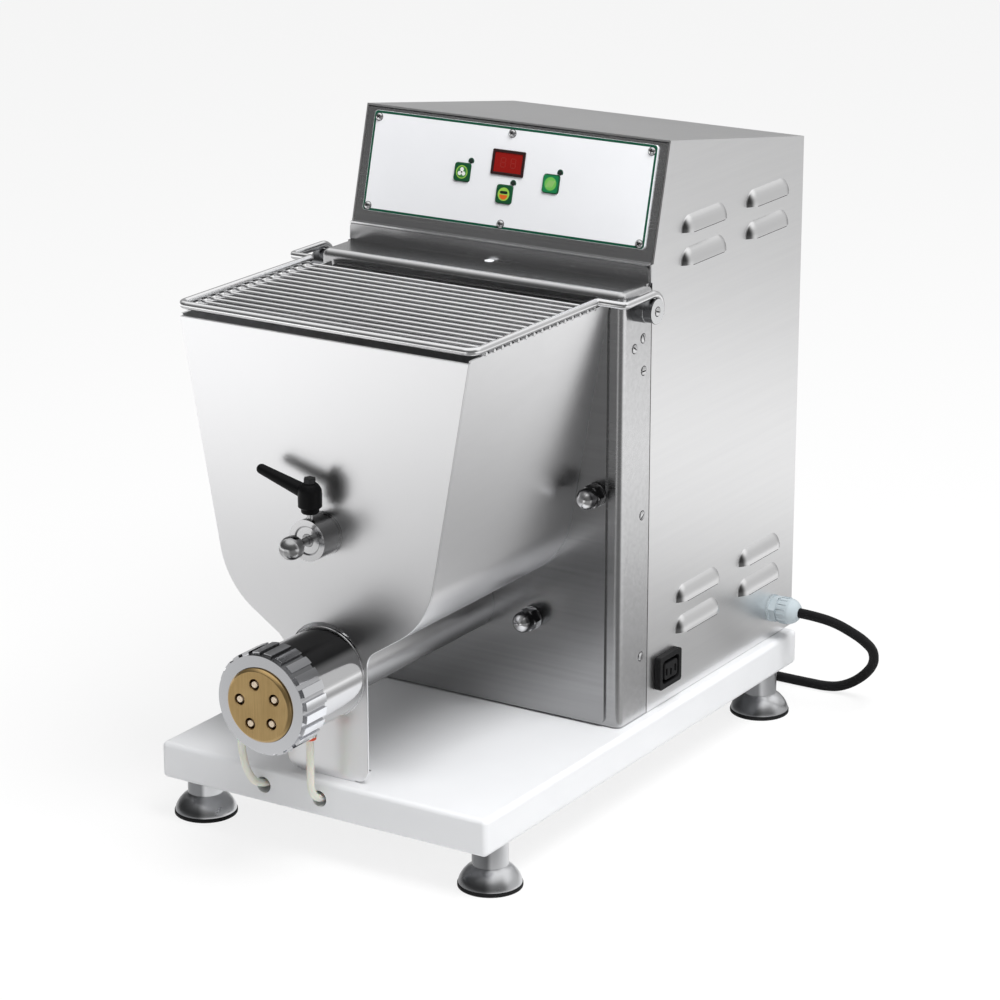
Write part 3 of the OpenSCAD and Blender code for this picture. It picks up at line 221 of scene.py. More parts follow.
COLLAR_END = 47.0
AUGER_Z = 84.6
tilt = radians(25)
right_points = [(0, -10.5, AUGER_Z - COLLAR_END), (0, -10.5, 30), (0, -10.5, 20), (0, -10.5, 8),
                *bend((0, 6.5, 1.5), 17, 180, 270), *hose_inside(0)]
left_points = [(-COLLAR_END * cos(tilt), -16, AUGER_Z - COLLAR_END * sin(tilt)),
               (-48, -16.6, 61), (-52, -17, 56), (-57, -18, 44), (-59, -18, 30), (-58.5, -17, 16),
               (-57, -14, 2), (-54.5, -8, -9), (-52.6, 3, -14.4), (-52, 16, HOSE_Z),
               *hose_inside(-52)]
hoses = {}
for side, points in (("right", right_points), ("left", left_points)):
    line = smooth_line([at(*p) for p in points], steps=5)
    hoses[side] = (tube_curve(f"hose_{side}", line, HOSE_D / 2000), line)
    print("hose", side, round(line_length(line), 3), "m")

# %% [markdown]
# ## Finishes as sums of nodes
# A finish is a small network of shader nodes. Wiring it by hand hides the idea, so one class wraps
# a socket and lets Python's own operators add the Math nodes: `1 - mask` then reads as it should.

# %% The class for amounts
class Amount:
    """A socket that can be used in a sum, with an amount or a number on the other side."""

    def __init__(self, network, socket):
        self.network, self.socket = network, socket

    def math(self, operation, *values):
        """A Math node that works on amounts and numbers."""
        return self.network.node("ShaderNodeMath", {"operation": operation},
                                 dict(enumerate(values)))

    def __add__(self, other):
        return self.math("ADD", self, other)

    def __sub__(self, other):
        return self.math("SUBTRACT", self, other)

    def __rsub__(self, other):
        return self.math("SUBTRACT", other, self)

    def __mul__(self, other):
        return self.math("MULTIPLY", self, other)

    def __truediv__(self, other):
        return self.math("DIVIDE", self, other)

    def __rtruediv__(self, other):
        return self.math("DIVIDE", other, self)

    def __pow__(self, other):
        return self.math("POWER", self, other)

    def __rpow__(self, other):
        return self.math("POWER", other, self)

    __radd__, __rmul__ = __add__, __mul__


print("operators of an amount:", "+ - * / **")

# %% [markdown]
# ## Networks and finishes
# A network holds the nodes of a floor, a sky or a recipe for shapes. A finish is a network with
# one shader, and with short names for what most surfaces need: noise, a blend of two colours, a
# spread of roughness and a relief.

# %% The class for networks
class Network:
    """The nodes of a material or of the sky."""

    def __init__(self, owner):
        owner.use_nodes = True
        self.tree = owner.node_tree
        self.tree.nodes.clear()

    def put(self, socket, value):
        """Sets a socket to a plain value, or links it to an amount."""
        if isinstance(value, Amount):
            self.tree.links.new(value.socket, socket)
        else:
            socket.default_value = value

    def node(self, kind, settings=None, inputs=None, output=0):
        """Adds a node: its settings first, then its sockets. Gives one of its outputs."""
        made = self.tree.nodes.new(kind)
        for key, value in (settings or {}).items():
            if key == "stops":
                ramp = made.color_ramp.elements
                while len(ramp) < len(value):
                    ramp.new(1.0)
                for element, (place, colour) in zip(ramp, value):
                    element.position, element.color = place, colour
            else:
                setattr(made, key, value)
        for key, value in (inputs or {}).items():
            self.put(made.inputs[key], value)
        return Amount(self, made.outputs[output])

    def shown(self, shader, output):
        """Links a shader to the output node that is named."""
        self.put(self.tree.nodes.new(output).inputs["Surface"], shader)

    def seen_by(self, *rays):
        """1 for a ray of one of these kinds, such as a camera ray, and 0 for others."""
        kinds = [self.node("ShaderNodeLightPath", output=f"Is {ray} Ray") for ray in rays]
        total = kinds[0]
        for kind in kinds[1:]:
            total = total.math("MAXIMUM", total, kind)
        return total

    def axes(self, coordinates):
        """The x, y and z of the object's place, or of a direction."""
        place = self.node("ShaderNodeTexCoord", output=coordinates)
        return [self.node("ShaderNodeSeparateXYZ", None, {"Vector": place}, axis)
                for axis in "XYZ"]

    def ease(self, value, low, high):
        """0 below low, 1 above high, and smooth between."""
        return self.node("ShaderNodeMapRange", {"interpolation_type": "SMOOTHSTEP"},
                         {"Value": value, "From Min": low, "From Max": high})


print("networks can ease a value between two limits, and ask which rays see them")


# %% The class for finishes
class Finish(Network):
    """A material with one Principled shader, whose plain values are set on the shader itself."""

    def __init__(self, name, **plain):
        self.material = bpy.data.materials.new(name)
        super().__init__(self.material)
        self.shader = self.tree.nodes.new("ShaderNodeBsdfPrincipled")
        self.shown(Amount(self, self.shader.outputs[0]), "ShaderNodeOutputMaterial")
        for socket, value in plain.items():
            self.shader.inputs[socket.replace("_", " ")].default_value = value

    def noise(self, scale, stretch=(1, 1, 1), detail=3.0, roughness=0.5):
        """Cloudy values from 0 to 1, in the object's own metres, stretched along some axes."""
        place = self.node("ShaderNodeTexCoord", output="Object")
        place = self.node("ShaderNodeMapping", None, {"Vector": place, "Scale": stretch})
        return self.node("ShaderNodeTexNoise", None, {
            "Vector": place, "Scale": scale, "Detail": detail, "Roughness": roughness})

    def blend(self, share, first, second):
        """A colour between two colours."""
        return self.node("ShaderNodeMix", {"data_type": "RGBA"},
                         {0: share, 6: first, 7: second}, output=2)

    def span(self, value, low, high):
        """Stretches a 0 to 1 value to run from low to high."""
        return value * (high - low) + low

    def tones(self, share, dark, light, grain, rough):
        """Runs the colour from dark to light by a share, and the roughness by a grain."""
        return self.look(Base_Color=self.blend(share, shade(*dark), shade(*light)),
                         Roughness=self.span(grain, *rough))

    def look(self, **links):
        """Links what changes over the surface to the shader."""
        for socket, value in links.items():
            self.put(self.shader.inputs[socket.replace("_", " ")], value)
        return self

    def relief(self, height, depth, strength=1.0):
        """A bump from a height, with its depth in metres."""
        return self.look(Normal=self.node("ShaderNodeBump", None, {
            "Height": height, "Distance": depth, "Strength": strength}))


def shade(*levels):
    """A colour that is given as it looks on a screen, 0 to 255, as the shader wants it."""
    levels = levels * 3 if len(levels) == 1 else levels
    linear = [((v / 255 + 0.055) / 1.055) ** 2.4 if v > 10 else v / 255 / 12.92 for v in levels]
    return (*linear, 1.0)


print("white as the shader wants it:", shade(255))

# %% [markdown]
# ## Steel finishes
# Nearly all of the machine is stainless steel. The hopper is bead blasted, the housing finely
# brushed, the lid wire drawn bright and the small parts polished. The metal is the same, so the
# finishes differ in their grain: its direction, its size and how far it spreads a reflection.
# Each finish takes the name of its slot in the record.

# %% Steel finishes
BRUSH_DEPTH, GRAIN_DEPTH = 0.000012, 0.00003
STREAKS, BANDS, BLAST_GRAIN = 900, 260, 2600  # how many to the metre
LOUVRE_START, LOUVRE_END = 0.01966, 0.0199  # squares of how far the louvres stand out
SMEAR_SHARE = 0.06  # how much a smear shows where a finish has two tones


def brushed(name, dark, light, stretch, rough, depth=BRUSH_DEPTH, shadow=None):
    """Brushed metal: long streaks along the axis that is stretched least."""
    made = Finish(name, Metallic=1.0)
    streak = made.noise(STREAKS, stretch, detail=4.0, roughness=0.65)
    band = made.noise(BANDS, stretch, detail=2.0)
    cloud = made.noise(9, detail=2.0)
    tone = streak * 0.3 + band * 0.35 + cloud * 0.35
    colour = made.blend(tone, shade(*dark), shade(*light))
    # painted shade: a shadow share blends the colour towards dark grey
    if shadow:
        colour = made.blend(shadow(made), colour, shade(40))
    made.look(Base_Color=colour, Roughness=made.span(streak * 0.6 + cloud * 0.4, *rough))
    return made.relief(streak, depth, 0.35) if depth else made


def louvre_ends(made):
    """Painted shade: 1 on the turned-in ends of the louvres, which face forwards and backwards."""
    x, along = made.axes("Object")[0], made.axes("Normal")[1]
    stands_out = made.ease(x * x, LOUVRE_START, LOUVRE_END)
    return stands_out * made.ease(along * along, 0.05, 0.3) * 0.85


def blasted(name, dark, light, rough):
    """Bead-blasted metal: an even fine grain with no direction."""
    made = Finish(name, Metallic=1.0)
    grain = made.noise(BLAST_GRAIN, detail=2.0)
    cloud = made.noise(7, detail=3.0)
    made.tones(cloud * 0.8 + grain * 0.2, dark, light, cloud * 0.5 + grain * 0.5, rough)
    return made.relief(grain, GRAIN_DEPTH, 0.4)


def polished(name, first, second, rough, share=None):
    """Polished metal with faint smears. A share can say where its second tone shows."""
    made = Finish(name, Metallic=1.0)
    smear = made.noise(60, (1, 0.35, 1), detail=5.0, roughness=0.7)
    tone = share(made) * (1 - SMEAR_SHARE) + smear * SMEAR_SHARE if share else smear
    return made.tones(tone, first, second, smear, rough)


METALS = dict(
    housing_steel=(brushed, (232, 232, 233), (249, 249, 249), (1, 0.02, 1), (0.26, 0.38),
                   BRUSH_DEPTH, louvre_ends),
    frame_steel=(brushed, (176, 176, 177), (236, 236, 237), (0.01, 1, 1), (0.20, 0.32), 0),
    hopper_steel=(blasted, (236, 236, 237), (248, 248, 249), (0.27, 0.34)),
    polished_steel=(polished, (200, 200, 201), (240, 240, 241), (0.06, 0.16)),
    wire_steel=(polished, (226, 226, 227), (244, 244, 245), (0.12, 0.22)),
    fastener_steel=(brushed, (206, 206, 207), (234, 234, 235), (1, 1, 1), (0.16, 0.30)),
    zinc_steel=(brushed, (150, 152, 156), (186, 188, 190), (1, 0.3, 1), (0.28, 0.42)),
    gear_steel=(brushed, (128, 128, 127), (160, 160, 158), (1, 0.1, 1), (0.30, 0.46)),
    rotor_steel=(brushed, (104, 104, 103), (140, 140, 138), (1, 1, 8), (0.35, 0.5)),
    fitting_nickel=(polished, (190, 188, 180), (214, 212, 204), (0.14, 0.26)),
    gearbox_cast=(blasted, (110, 112, 115), (138, 140, 143), (0.45, 0.6)),
    motor_grey=(blasted, (116, 120, 126), (142, 146, 152), (0.42, 0.55)),
)
finishes = {slot: make(slot, *rest) for slot, (make, *rest) in METALS.items()}
print("metal finishes:", len(finishes))

# %% [markdown]
# ## Finishes with painted light and shade
# Shadows gather in grooves and under overhangs, and polished round pieces mirror a dark band.
# Here these are painted into the colour: one finish holds two tones, and a short function says
# where the second one shows. It works from the place on the machine, or from the way the surface
# faces.

# %% Helpers for the second tone
AUGER_HEIGHT = at(0, 0, AUGER_Z).z
BOSS_HEIGHT = (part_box("front_boss")[0][2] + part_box("front_boss")[1][2]) / 2
STUD_TOP, STUD_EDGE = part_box("clamp_lever")[0][2] + 0.002, 0.0008
GROOVE_R, NUT_R = 0.0384, 0.0394
TUBE_R, TUBE_END_R, CREASE_R = 0.0254, 0.0262, 0.046
GROOVE_IN, GROOVE_OUT = (0.0098, 0.0104), (0.0112, 0.0118)


def round_axis(made, middle):
    """How far a place is from an axis that runs from front to back, and how high over it."""
    x, _, z = made.axes("Object")
    rise = z - middle
    return (x * x + rise * rise) ** 0.5, rise, x


def facing(made, axis):
    """1 where the surface faces along an axis, and 0 where it runs along it."""
    along = made.axes("Normal")["xyz".index(axis)]
    return made.ease(along * along, 0.5, 0.85)


print("auger's axis at", round(AUGER_HEIGHT, 4), "m, front boss at", round(BOSS_HEIGHT, 4), "m")


# %% Painted reflection and shade round the auger
def jacket_top(made):
    """Painted reflection: a dark band on the top of the jacket, a little to its left, where it
    mirrors the dark trough.
    """
    _, rise, x = round_axis(made, AUGER_HEIGHT)
    return made.ease(rise * 28.1 - x * 4.9, 0.42, 0.60)


def nut_grooves(made):
    """Painted shade in the bottoms of the ring nut's grooves, darkest at the top."""
    far, rise, x = round_axis(made, AUGER_HEIGHT)
    groove = 1 - made.ease(far, GROOVE_R, NUT_R)
    top = made.ease(rise * 25 - x * 9, 0.35, 0.85)
    bright = (1 - groove * (top * 0.45 + 0.3)) * (1 - top * 0.14)
    return (1 - facing(made, "y")) * (1 - bright)


def trough_shadow(made):
    """The underside of the trough's tube, and the crease where the walls meet it."""
    far, rise, _ = round_axis(made, AUGER_HEIGHT)
    tube = 1 - made.ease(far, TUBE_R, TUBE_END_R)
    under = made.ease(0 - rise * 40, -0.2, 0.6)
    crease = made.ease(CREASE_R - far, 0, 0.02) * (1 - tube)
    return tube * (under * 0.66 + 0.16) + crease * 0.4


print("tones round an axis:", jacket_top.__name__, nut_grooves.__name__, trough_shadow.__name__)


# %% Second tones of the small pieces
def foot_side(made):
    """Painted shade: 1 on the side of a foot that faces away from the window."""
    out_x, out_y, _ = made.axes("Normal")
    return made.ease(0.1 - out_x * 0.85 - out_y * 0.53, 0, 0.3)


def frame_front(made):
    """Painted shade on the folded front of the frame, which sees the hopper and not the window."""
    return made.ease(0 - made.axes("Normal")[1], 0.45, 0.85) * 0.4


def nut_sides(made):
    """Painted shade on all of a dome nut apart from its end, which faces the front and stays
    bright.
    """
    return made.ease(made.axes("Normal")[1], -0.8, -0.45)


def stud_screw(made):
    """The top of the lever's stud, which is blackened."""
    return made.ease(made.axes("Object")[2], STUD_TOP - STUD_EDGE, STUD_TOP + STUD_EDGE)


def boss_ends(made):
    """Painted highlight: the ends of the lid's bosses bright, and their sides darker."""
    return facing(made, "x")


def boss_rings(made):
    """Painted highlight on the face of the front boss, and painted shade in a ring for its turned
    groove.
    """
    far, _, _ = round_axis(made, BOSS_HEIGHT)
    ring = made.ease(far, *GROOVE_IN) * (1 - made.ease(far, *GROOVE_OUT))
    return facing(made, "y") * (1 - ring * 0.8)


print("the boss's groove starts", GROOVE_IN[0] * 1000, "mm from its axis")

# %% The finishes of single pieces
SINGLE = dict(
    cooling_jacket=(polished, (232, 232, 233), (60, 60, 61), (0.08, 0.18), jacket_top),
    ring_nut=(polished, (246, 247, 250), (46, 46, 48), (0.07, 0.16), nut_grooves),
    hopper_walls=(polished, (242, 242, 243), (62, 62, 63), (0.27, 0.34), trough_shadow),
    front_boss=(polished, (168, 168, 169), (240, 240, 241), (0.10, 0.20), boss_rings),
    lid_bosses=(polished, (118, 119, 121), (238, 239, 240), (0.16, 0.28), boss_ends),
    dome_nuts=(polished, (228, 228, 229), (58, 58, 60), (0.05, 0.10), nut_sides),
    foot_bells=(polished, (216, 217, 219), (118, 119, 121), (0.24, 0.34), foot_side),
    lever_stud=(polished, (206, 206, 207), (26, 26, 28), (0.16, 0.28), stud_screw),
    pivot_pin=(polished, (146, 146, 147), (204, 204, 205), (0.10, 0.22)),
    front_frame=(brushed, (184, 184, 185), (238, 238, 239), (0.01, 1, 1), (0.20, 0.32), 0,
                 frame_front),
    # painted shade: the hopper plate's steel is darker than the frame's, for the shade of the
    # hopper in front of it
    hopper_plate=(brushed, (138, 138, 139), (186, 186, 187), (0.01, 1, 1), (0.18, 0.28), 0),
)
SPECIAL = {node: make(node, *rest) for node, (make, *rest) in SINGLE.items()}
trough = SPECIAL["hopper_walls"]
trough.relief(trough.noise(BLAST_GRAIN, detail=2.0), GRAIN_DEPTH, 0.4)
print("finishes of single pieces:", len(SPECIAL))

# %% [markdown]
# ## Brass, plastics and rubber
# The die is turned from brass and its face is brushed upright. The rest of the small parts are
# moulded: a moulded surface has a very fine texture, and catches light on its rounded edges.

# %% Brass finishes
def brass(name, dark, light, stretch, rough):
    """Warm metal with fine tool marks."""
    made = Finish(name, Metallic=1.0)
    mark = made.noise(1100, stretch, detail=5.0, roughness=0.7)
    cloud = made.noise(45, detail=3.0)
    made.tones(mark * 0.55 + cloud * 0.45, dark, light, mark, rough)
    return made.relief(mark, GRAIN_DEPTH, 0.5)


BRASSES = dict(
    die_brass=((160, 128, 76), (238, 206, 150), (1, 1, 0.04), (0.22, 0.40)),
    wheel_bronze=((150, 106, 58), (186, 138, 84), (1, 0.2, 1), (0.3, 0.45)),
)
finishes.update({slot: brass(slot, *rest) for slot, rest in BRASSES.items()})
print("brass finishes:", ", ".join(BRASSES))


# %% Moulded finishes
def moulded(name, colour, rough, grain=1500, lift=4, depth=0.00004, **plain):
    """Moulded plastic or rubber: one colour with a fine skin and a little dust."""
    made = Finish(name, **plain)
    skin = made.noise(grain, detail=2.0)
    dust = made.noise(22, detail=4.0)
    low = [max(c - lift, 0) for c in colour]
    high = [min(c + lift, 255) for c in colour]
    return made.tones(dust, low, high, dust, rough).relief(skin, depth, 0.4)


PLASTICS = dict(
    white_base=((227, 228, 230), (0.28, 0.38), 900, 3),
    white_faceplate=((246, 247, 250), (0.32, 0.42), 1300, 3),
    foot_rubber=((28, 28, 29), (0.55, 0.7), 1800, 6),
    display_black=((44, 22, 22), (0.3, 0.4), 1500, 5),
    button_green=((6, 78, 42), (0.4, 0.5), 1600, 4),
    lens_dark=((38, 46, 42), (0.1, 0.18), 1500, 4),
    board_green=((20, 84, 48), (0.35, 0.5), 700, 10),
    lever_black=((12, 12, 13), (0.36, 0.48), 2200, 4),
    stud_black=((30, 30, 32), (0.3, 0.42), 1500, 6),
    collar_red=((224, 82, 42), (0.32, 0.42), 1500, 8),
    insert_white=((224, 206, 182), (0.35, 0.5), 1500, 6),
    fan_black=((40, 40, 42), (0.4, 0.5), 1200, 5),
    capacitor_white=((222, 222, 216), (0.4, 0.5), 1200, 5),
    outlet_black=((26, 26, 27), (0.4, 0.52), 1900, 5),
    gland_grey=((178, 188, 193), (0.36, 0.46), 1700, 6),
    cord_black=((24, 24, 25), (0.46, 0.6), 2400, 5),
    plug_black=((28, 28, 29), (0.4, 0.52), 2000, 5),
)
DULL = ("lever_black", "outlet_black", "cord_black", "plug_black", "foot_rubber", "stud_black")
for slot, (colour, rough, grain, lift) in PLASTICS.items():
    finishes[slot] = moulded(slot, colour, rough, grain, lift,
                             Specular_IOR_Level=0.12 if slot in DULL else 0.5)
finishes["hose_white"] = moulded("hose_white", (226, 228, 216), (0.26, 0.36), 900, 6,
                                 Subsurface_Weight=0.35, Subsurface_Scale=0.004)
# painted light: the red display finish glows faintly, though the segments of the display are unlit
finishes["display_red"] = moulded("display_red", (132, 20, 16), (0.08, 0.16), 1200, 8, 0.00001,
                                  Emission_Color=shade(170, 20, 12), Emission_Strength=0.12)
print("finishes in all:", len(finishes))

# %% [markdown]
# ## The studio
# A white floor and a soft sky are enough for steel. What steel shows is its surroundings, so the
# sky has a dark screen low in front, a paler one low behind and a white top, and the floor has
# darker patches. Only metal sees them: the camera sees plain white.

# %% The floor
REACH = 20


def seen_in_front(net, x, y, far):
    """How bright metal sees the floor before the machine, with a darker ring half a metre out.
    It is darker to both sides of the line that runs straight away from the camera."""
    across = x - y * 0.62
    level = 0.82 - net.ease(far, 0.5, 0.7) * 0.24 + net.ease(far, 0.92, 1.38) * 1.25
    level = level * (1 - net.ease(across, 0.01, 0.13) * 0.45)
    level = level * (1 - net.ease(0 - across, 0.04, 0.14) * 0.25)
    return level + (1 - net.ease(far, 0.25, 0.45)) * 0.3


def seen_beside(net, far):
    """How bright metal sees the floor on the right: bright close by and far away."""
    return net.ease(far, 0.35, 1.05) * 0.8 + 0.22 + (1 - net.ease(far, 0.2, 0.34)) * 0.75


def studio_floor():
    """A wide floor that keeps the shadow, and is plain white to the camera."""
    made = bpy.data.materials.new("studio_floor")
    net = Network(made)
    x, y, _ = net.axes("Object")
    far = (x * x + y * y) ** 0.5
    right = net.ease(x, -0.1, 0.2)
    seen = seen_in_front(net, x, y, far) * (1 - right) + seen_beside(net, far) * right
    # The dark patches: far behind the machine, a runner to the camera, and hidden at the back.
    behind = net.ease(y / far, 0.2, 0.8) * net.ease(far, 1.2, 1.9)
    runner = net.ease((x * 0.66 - y * 0.75) / far, 0.80, 0.95) * net.ease(far, 0.28, 0.4)
    hidden = net.ease(y / far, 0.5, 0.8) * net.ease(0.35 - x / far, 0, 0.25)
    seen = seen * (1 - behind * 0.42) * (1 - runner * 0.93) * (1 - hidden * 0.85)
    camera_ray = net.seen_by("Camera")
    white = net.node("ShaderNodeEmission", None,
                     {"Strength": camera_ray + (1 - camera_ray) * seen})
    paint = net.node("ShaderNodeBsdfDiffuse", None, {"Color": (0.86, 0.86, 0.86, 1)})
    share = net.seen_by("Camera", "Glossy", "Transmission") * 0.82
    net.shown(net.node("ShaderNodeMixShader", None, {0: share, 1: paint, 2: white}),
              "ShaderNodeOutputMaterial")
    corners = [(x * REACH, y * REACH, 0) for x, y in ((-1, -1), (1, -1), (1, 1), (-1, 1))]
    mesh = mesh_of("floor", corners, faces=[(0, 1, 2, 3)])
    mesh.materials.append(made)
    new_piece("floor", mesh)


studio_floor()
print("floor of", 2 * REACH, "m")


# %% The sky and the lamps
def studio_sky():
    """A sky of greys: a dark screen low in front, a paler one low behind, and a white top."""
    scene.world = bpy.data.worlds.new("studio_sky")
    net = Network(scene.world)
    x, y, z = net.axes("Generated")
    low_front = 0.14 + net.ease(x, 0.2, 0.9) * 0.05
    low_behind = 0.45 + net.ease(x, -0.3, 0.3) * 0.27
    behind = net.ease(y, -0.1, 0.3)
    low = low_front * (1 - behind) + low_behind * behind
    top = net.ease(z, 0.34, 0.62)
    screen = (1 - behind) * (1 - net.ease(z, 0.62, 0.92)) * net.seen_by("Glossy") * 0.8
    white_top = (0.72 + net.seen_by("Glossy") * 0.6) * (1 - screen)
    level = low * (1 - top) + top * white_top
    sky = net.node("ShaderNodeBackground", None, {"Strength": level})
    white = net.node("ShaderNodeBackground", None, {"Color": (1, 1, 1, 1)})
    net.shown(net.node("ShaderNodeMixShader", None,
                       {0: net.seen_by("Camera"), 1: sky, 2: white}), "ShaderNodeOutputWorld")


def soft_lamp(name, place, aim, size, power):
    """A large square lamp that looks at a point, and that metal doesn't mirror."""
    data = bpy.data.lights.new(name, "AREA")
    data.shape, data.size, data.energy = "SQUARE", size, power
    lamp = new_piece(name, data)
    lamp.location = place
    lamp.rotation_euler = (Vector(aim) - Vector(place)).to_track_quat("-Z", "Y").to_euler()
    lamp.visible_glossy = False


studio_sky()
soft_lamp("key_lamp", (1.15, -0.45, 2.55), (0, 0, 0.25), 1.4, 82)
soft_lamp("fill_lamp", (-0.9, -2.3, 1.3), (0, 0, 0.25), 1.6, 1)
scene.view_settings.view_transform = "Standard"
print("studio: sky and two lamps")

# %% [markdown]
# ## Dressing a solid
# The solids have sharp edges, and real sheet and castings don't: a narrow rounded edge catches a
# line of light. Each visible solid is copied, its loose triangles are merged into flat faces, and
# a bevel rounds the edges. The copy stands for its solid and rides on the same body.

# %% Helpers for meshes
body_of = {node: body for body, nodes in frame["record"]["behaviour"]["bodies"].items()
           for node in nodes}
slot_of = {part["node"]: part["material_slot"] for part in frame["record"]["subparts"]}


def plain_mesh(piece):
    """Works out a piece's modifiers and keeps the result as its mesh."""
    graph = bpy.context.evaluated_depsgraph_get()
    graph.update()
    mesh = bpy.data.meshes.new_from_object(piece.evaluated_get(graph))
    piece.modifiers.clear()
    piece.data = mesh
    return piece


def built(name, shape):
    """A piece from a bmesh, which is freed."""
    mesh = bpy.data.meshes.new(name)
    shape.to_mesh(mesh)
    shape.free()
    return new_piece(name, mesh)


def shade_by_angle(mesh, angle):
    """Smooth faces, with sharp edges where two faces meet at more than the angle."""
    mesh.polygons.foreach_set("use_smooth", [True] * len(mesh.polygons))
    mesh.set_sharp_from_angle(angle=radians(angle))


def round_edges(piece, width, angle):
    """Rounds the sharp edges of a piece by a width in millimetres."""
    bevel = piece.modifiers.new("edge", "BEVEL")
    bevel.width, bevel.segments = width / 1000, 2
    bevel.limit_method, bevel.angle_limit = "ANGLE", radians(angle)
    bevel.use_clamp_overlap = True
    bevel.miter_outer = "MITER_ARC"
    even = piece.modifiers.new("even", "WEIGHTED_NORMAL")
    even.keep_sharp = True
    return plain_mesh(piece)


print("nodes:", len(slot_of), "on bodies:", len(set(body_of.values())))


# %% Helpers to fasten and to dress
EDGE_ANGLE = 32
FLAT_ANGLE = 0.4


def fasten(piece, body, slot, *looks):
    """Gives a piece its looks, and lets it ride on a body."""
    if piece.data.materials:
        piece.data.materials.clear()
    for look in looks:
        piece.data.materials.append(look.material)
    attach(piece, body)
    return piece


def trim(piece, slot):
    """Gives a detail the finish of a slot, and fixes it to the machine's body."""
    return fasten(piece, "machine", slot, finishes[slot])


def settle(piece, node):
    """Gives a piece a node's finish, and lets it ride on its body and stand for the node."""
    fasten(piece, body_of[node], slot_of[node], SPECIAL.get(node) or finishes[slot_of[node]])
    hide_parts(node)
    return piece


def dress(node, edge):
    """A copy of a solid with rounded edges, which stands for it."""
    shape = bmesh.new()
    shape.from_mesh(frame["nodes"][node].data)
    bmesh.ops.remove_doubles(shape, verts=shape.verts, dist=1e-6)
    bmesh.ops.dissolve_limit(shape, angle_limit=radians(FLAT_ANGLE), verts=shape.verts,
                             edges=shape.edges)
    piece = built(f"{node}_dressed", shape)
    shade_by_angle(piece.data, EDGE_ANGLE)
    return settle(round_edges(piece, edge, EDGE_ANGLE), node)


print("edges sharper than", EDGE_ANGLE, "degrees are rounded")


# %% Dress the visible solids
EDGES = dict(
    base_plate=0.6, foot_bells=0.2, foot_pads=0.25, casing_cover=0.5,
    back_panel=0.3, front_frame=0.5, fascia_panel=0.4, faceplate=0.25,
    display_bezel=0.2, button_left=0.5, button_middle=0.5, button_right=0.5,
    indicator_lenses=0.15, hopper_walls=0.3, hopper_front=0.5, hopper_plate=0.4,
    dome_nuts=0.3, auger_barrel=0.2, cooling_jacket=0.4, ring_nut=0.35,
    die=0.5, die_inserts=0.2, front_boss=0.4, pivot_pin=0.25, clamp_lever=0.5,
    lever_stud=0.3, lid_bosses=0.5, water_fittings=0.3, release_collars=0.3,
    rear_inlets=0.3, power_outlet=0.35, cable_gland=0.35, mains_plug=0.6,
)
pieces = {node: dress(node, edge) for node, edge in EDGES.items()}
print("dressed pieces:", len(pieces))
print("their faces:", sum(len(piece.data.polygons) for piece in pieces.values()))

# %% Finish the solids that stay as they are
OWN_PIECES = ("lid_grid", "case_screws", "faceplate_screws", "mains_cord", "cord_coil",
              "cooling_tubes")
stay = [n for n in frame["nodes"] if n not in EDGES and n not in OWN_PIECES]
for node in stay:
    data = frame["nodes"][node].data
    data.materials.clear()
    data.materials.append(finishes[slot_of[node]].material)
print("solids that keep their shape:", len(stay))

# %% Let the cords ride
trim(mains_lead, "cord_black")
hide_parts("mains_cord", "cord_coil")
line_length(lead_line)
for side, (hose, line) in hoses.items():
    trim(hose, "hose_white")
    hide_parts("cooling_tubes")
    line_length(line)
print("cords:", mains_lead.name, *[hose.name for hose, _ in hoses.values()])

# %% [markdown]
# ## Recipes in Geometry Nodes
# What repeats is best described once, with sizes that have names. A Geometry Nodes tree is such a
# recipe. The class below adds named inputs, and `grow` ends the tree with real geometry and a
# material, runs it and keeps a plain mesh.

# %% The class for recipes
SOCKETS = {"int": "NodeSocketInt", "float": "NodeSocketFloat", "Object": "NodeSocketObject"}


class Recipe(Network):
    """A Geometry Nodes tree with named sizes."""

    def __init__(self, name, **sizes):
        self.tree = bpy.data.node_groups.new(name, "GeometryNodeTree")
        socket = self.tree.interface.new_socket
        socket("Geometry", in_out="INPUT", socket_type="NodeSocketGeometry")
        socket("Geometry", in_out="OUTPUT", socket_type="NodeSocketGeometry")
        self.values = {}
        for size, value in sizes.items():
            made = socket(size, in_out="INPUT", socket_type=SOCKETS[type(value).__name__])
            self.values[made.identifier] = value
        self.given = self.tree.nodes.new("NodeGroupInput")

    def size(self, name):
        """A named input, for use in the tree."""
        return Amount(self, self.given.outputs[name])

    def vector(self, x=0.0, y=0.0, z=0.0):
        """A vector of amounts and numbers."""
        return self.node("ShaderNodeCombineXYZ", None, {"X": x, "Y": y, "Z": z})

    def tube(self, curve, radius, sides):
        """A closed tube round a curve."""
        ring = self.node("GeometryNodeCurvePrimitiveCircle", None,
                         {"Resolution": sides, "Radius": radius})
        return self.node("GeometryNodeCurveToMesh", None,
                         {"Curve": curve, "Profile Curve": ring, "Fill Caps": True})

    def grow(self, name, mesh, look, *shapes):
        """Joins the shapes, ends the tree, and runs it on a mesh."""
        joined = self.tree.nodes.new("GeometryNodeJoinGeometry")
        for shape in shapes:
            self.tree.links.new(shape.socket, joined.inputs[0])
        whole = Amount(self, joined.outputs[0])
        real = self.node("GeometryNodeRealizeInstances", None, {0: whole})
        done = self.node("GeometryNodeSetMaterial", None,
                         {"Geometry": real, "Material": look.material})
        self.put(self.tree.nodes.new("NodeGroupOutput").inputs[0], done)
        piece = new_piece(name, mesh)
        recipe = piece.modifiers.new("recipe", "NODES")
        recipe.node_group = self.tree
        for identifier, value in self.values.items():
            recipe[identifier] = value
        return plain_mesh(piece)


print("recipe inputs can be:", ", ".join(SOCKETS))

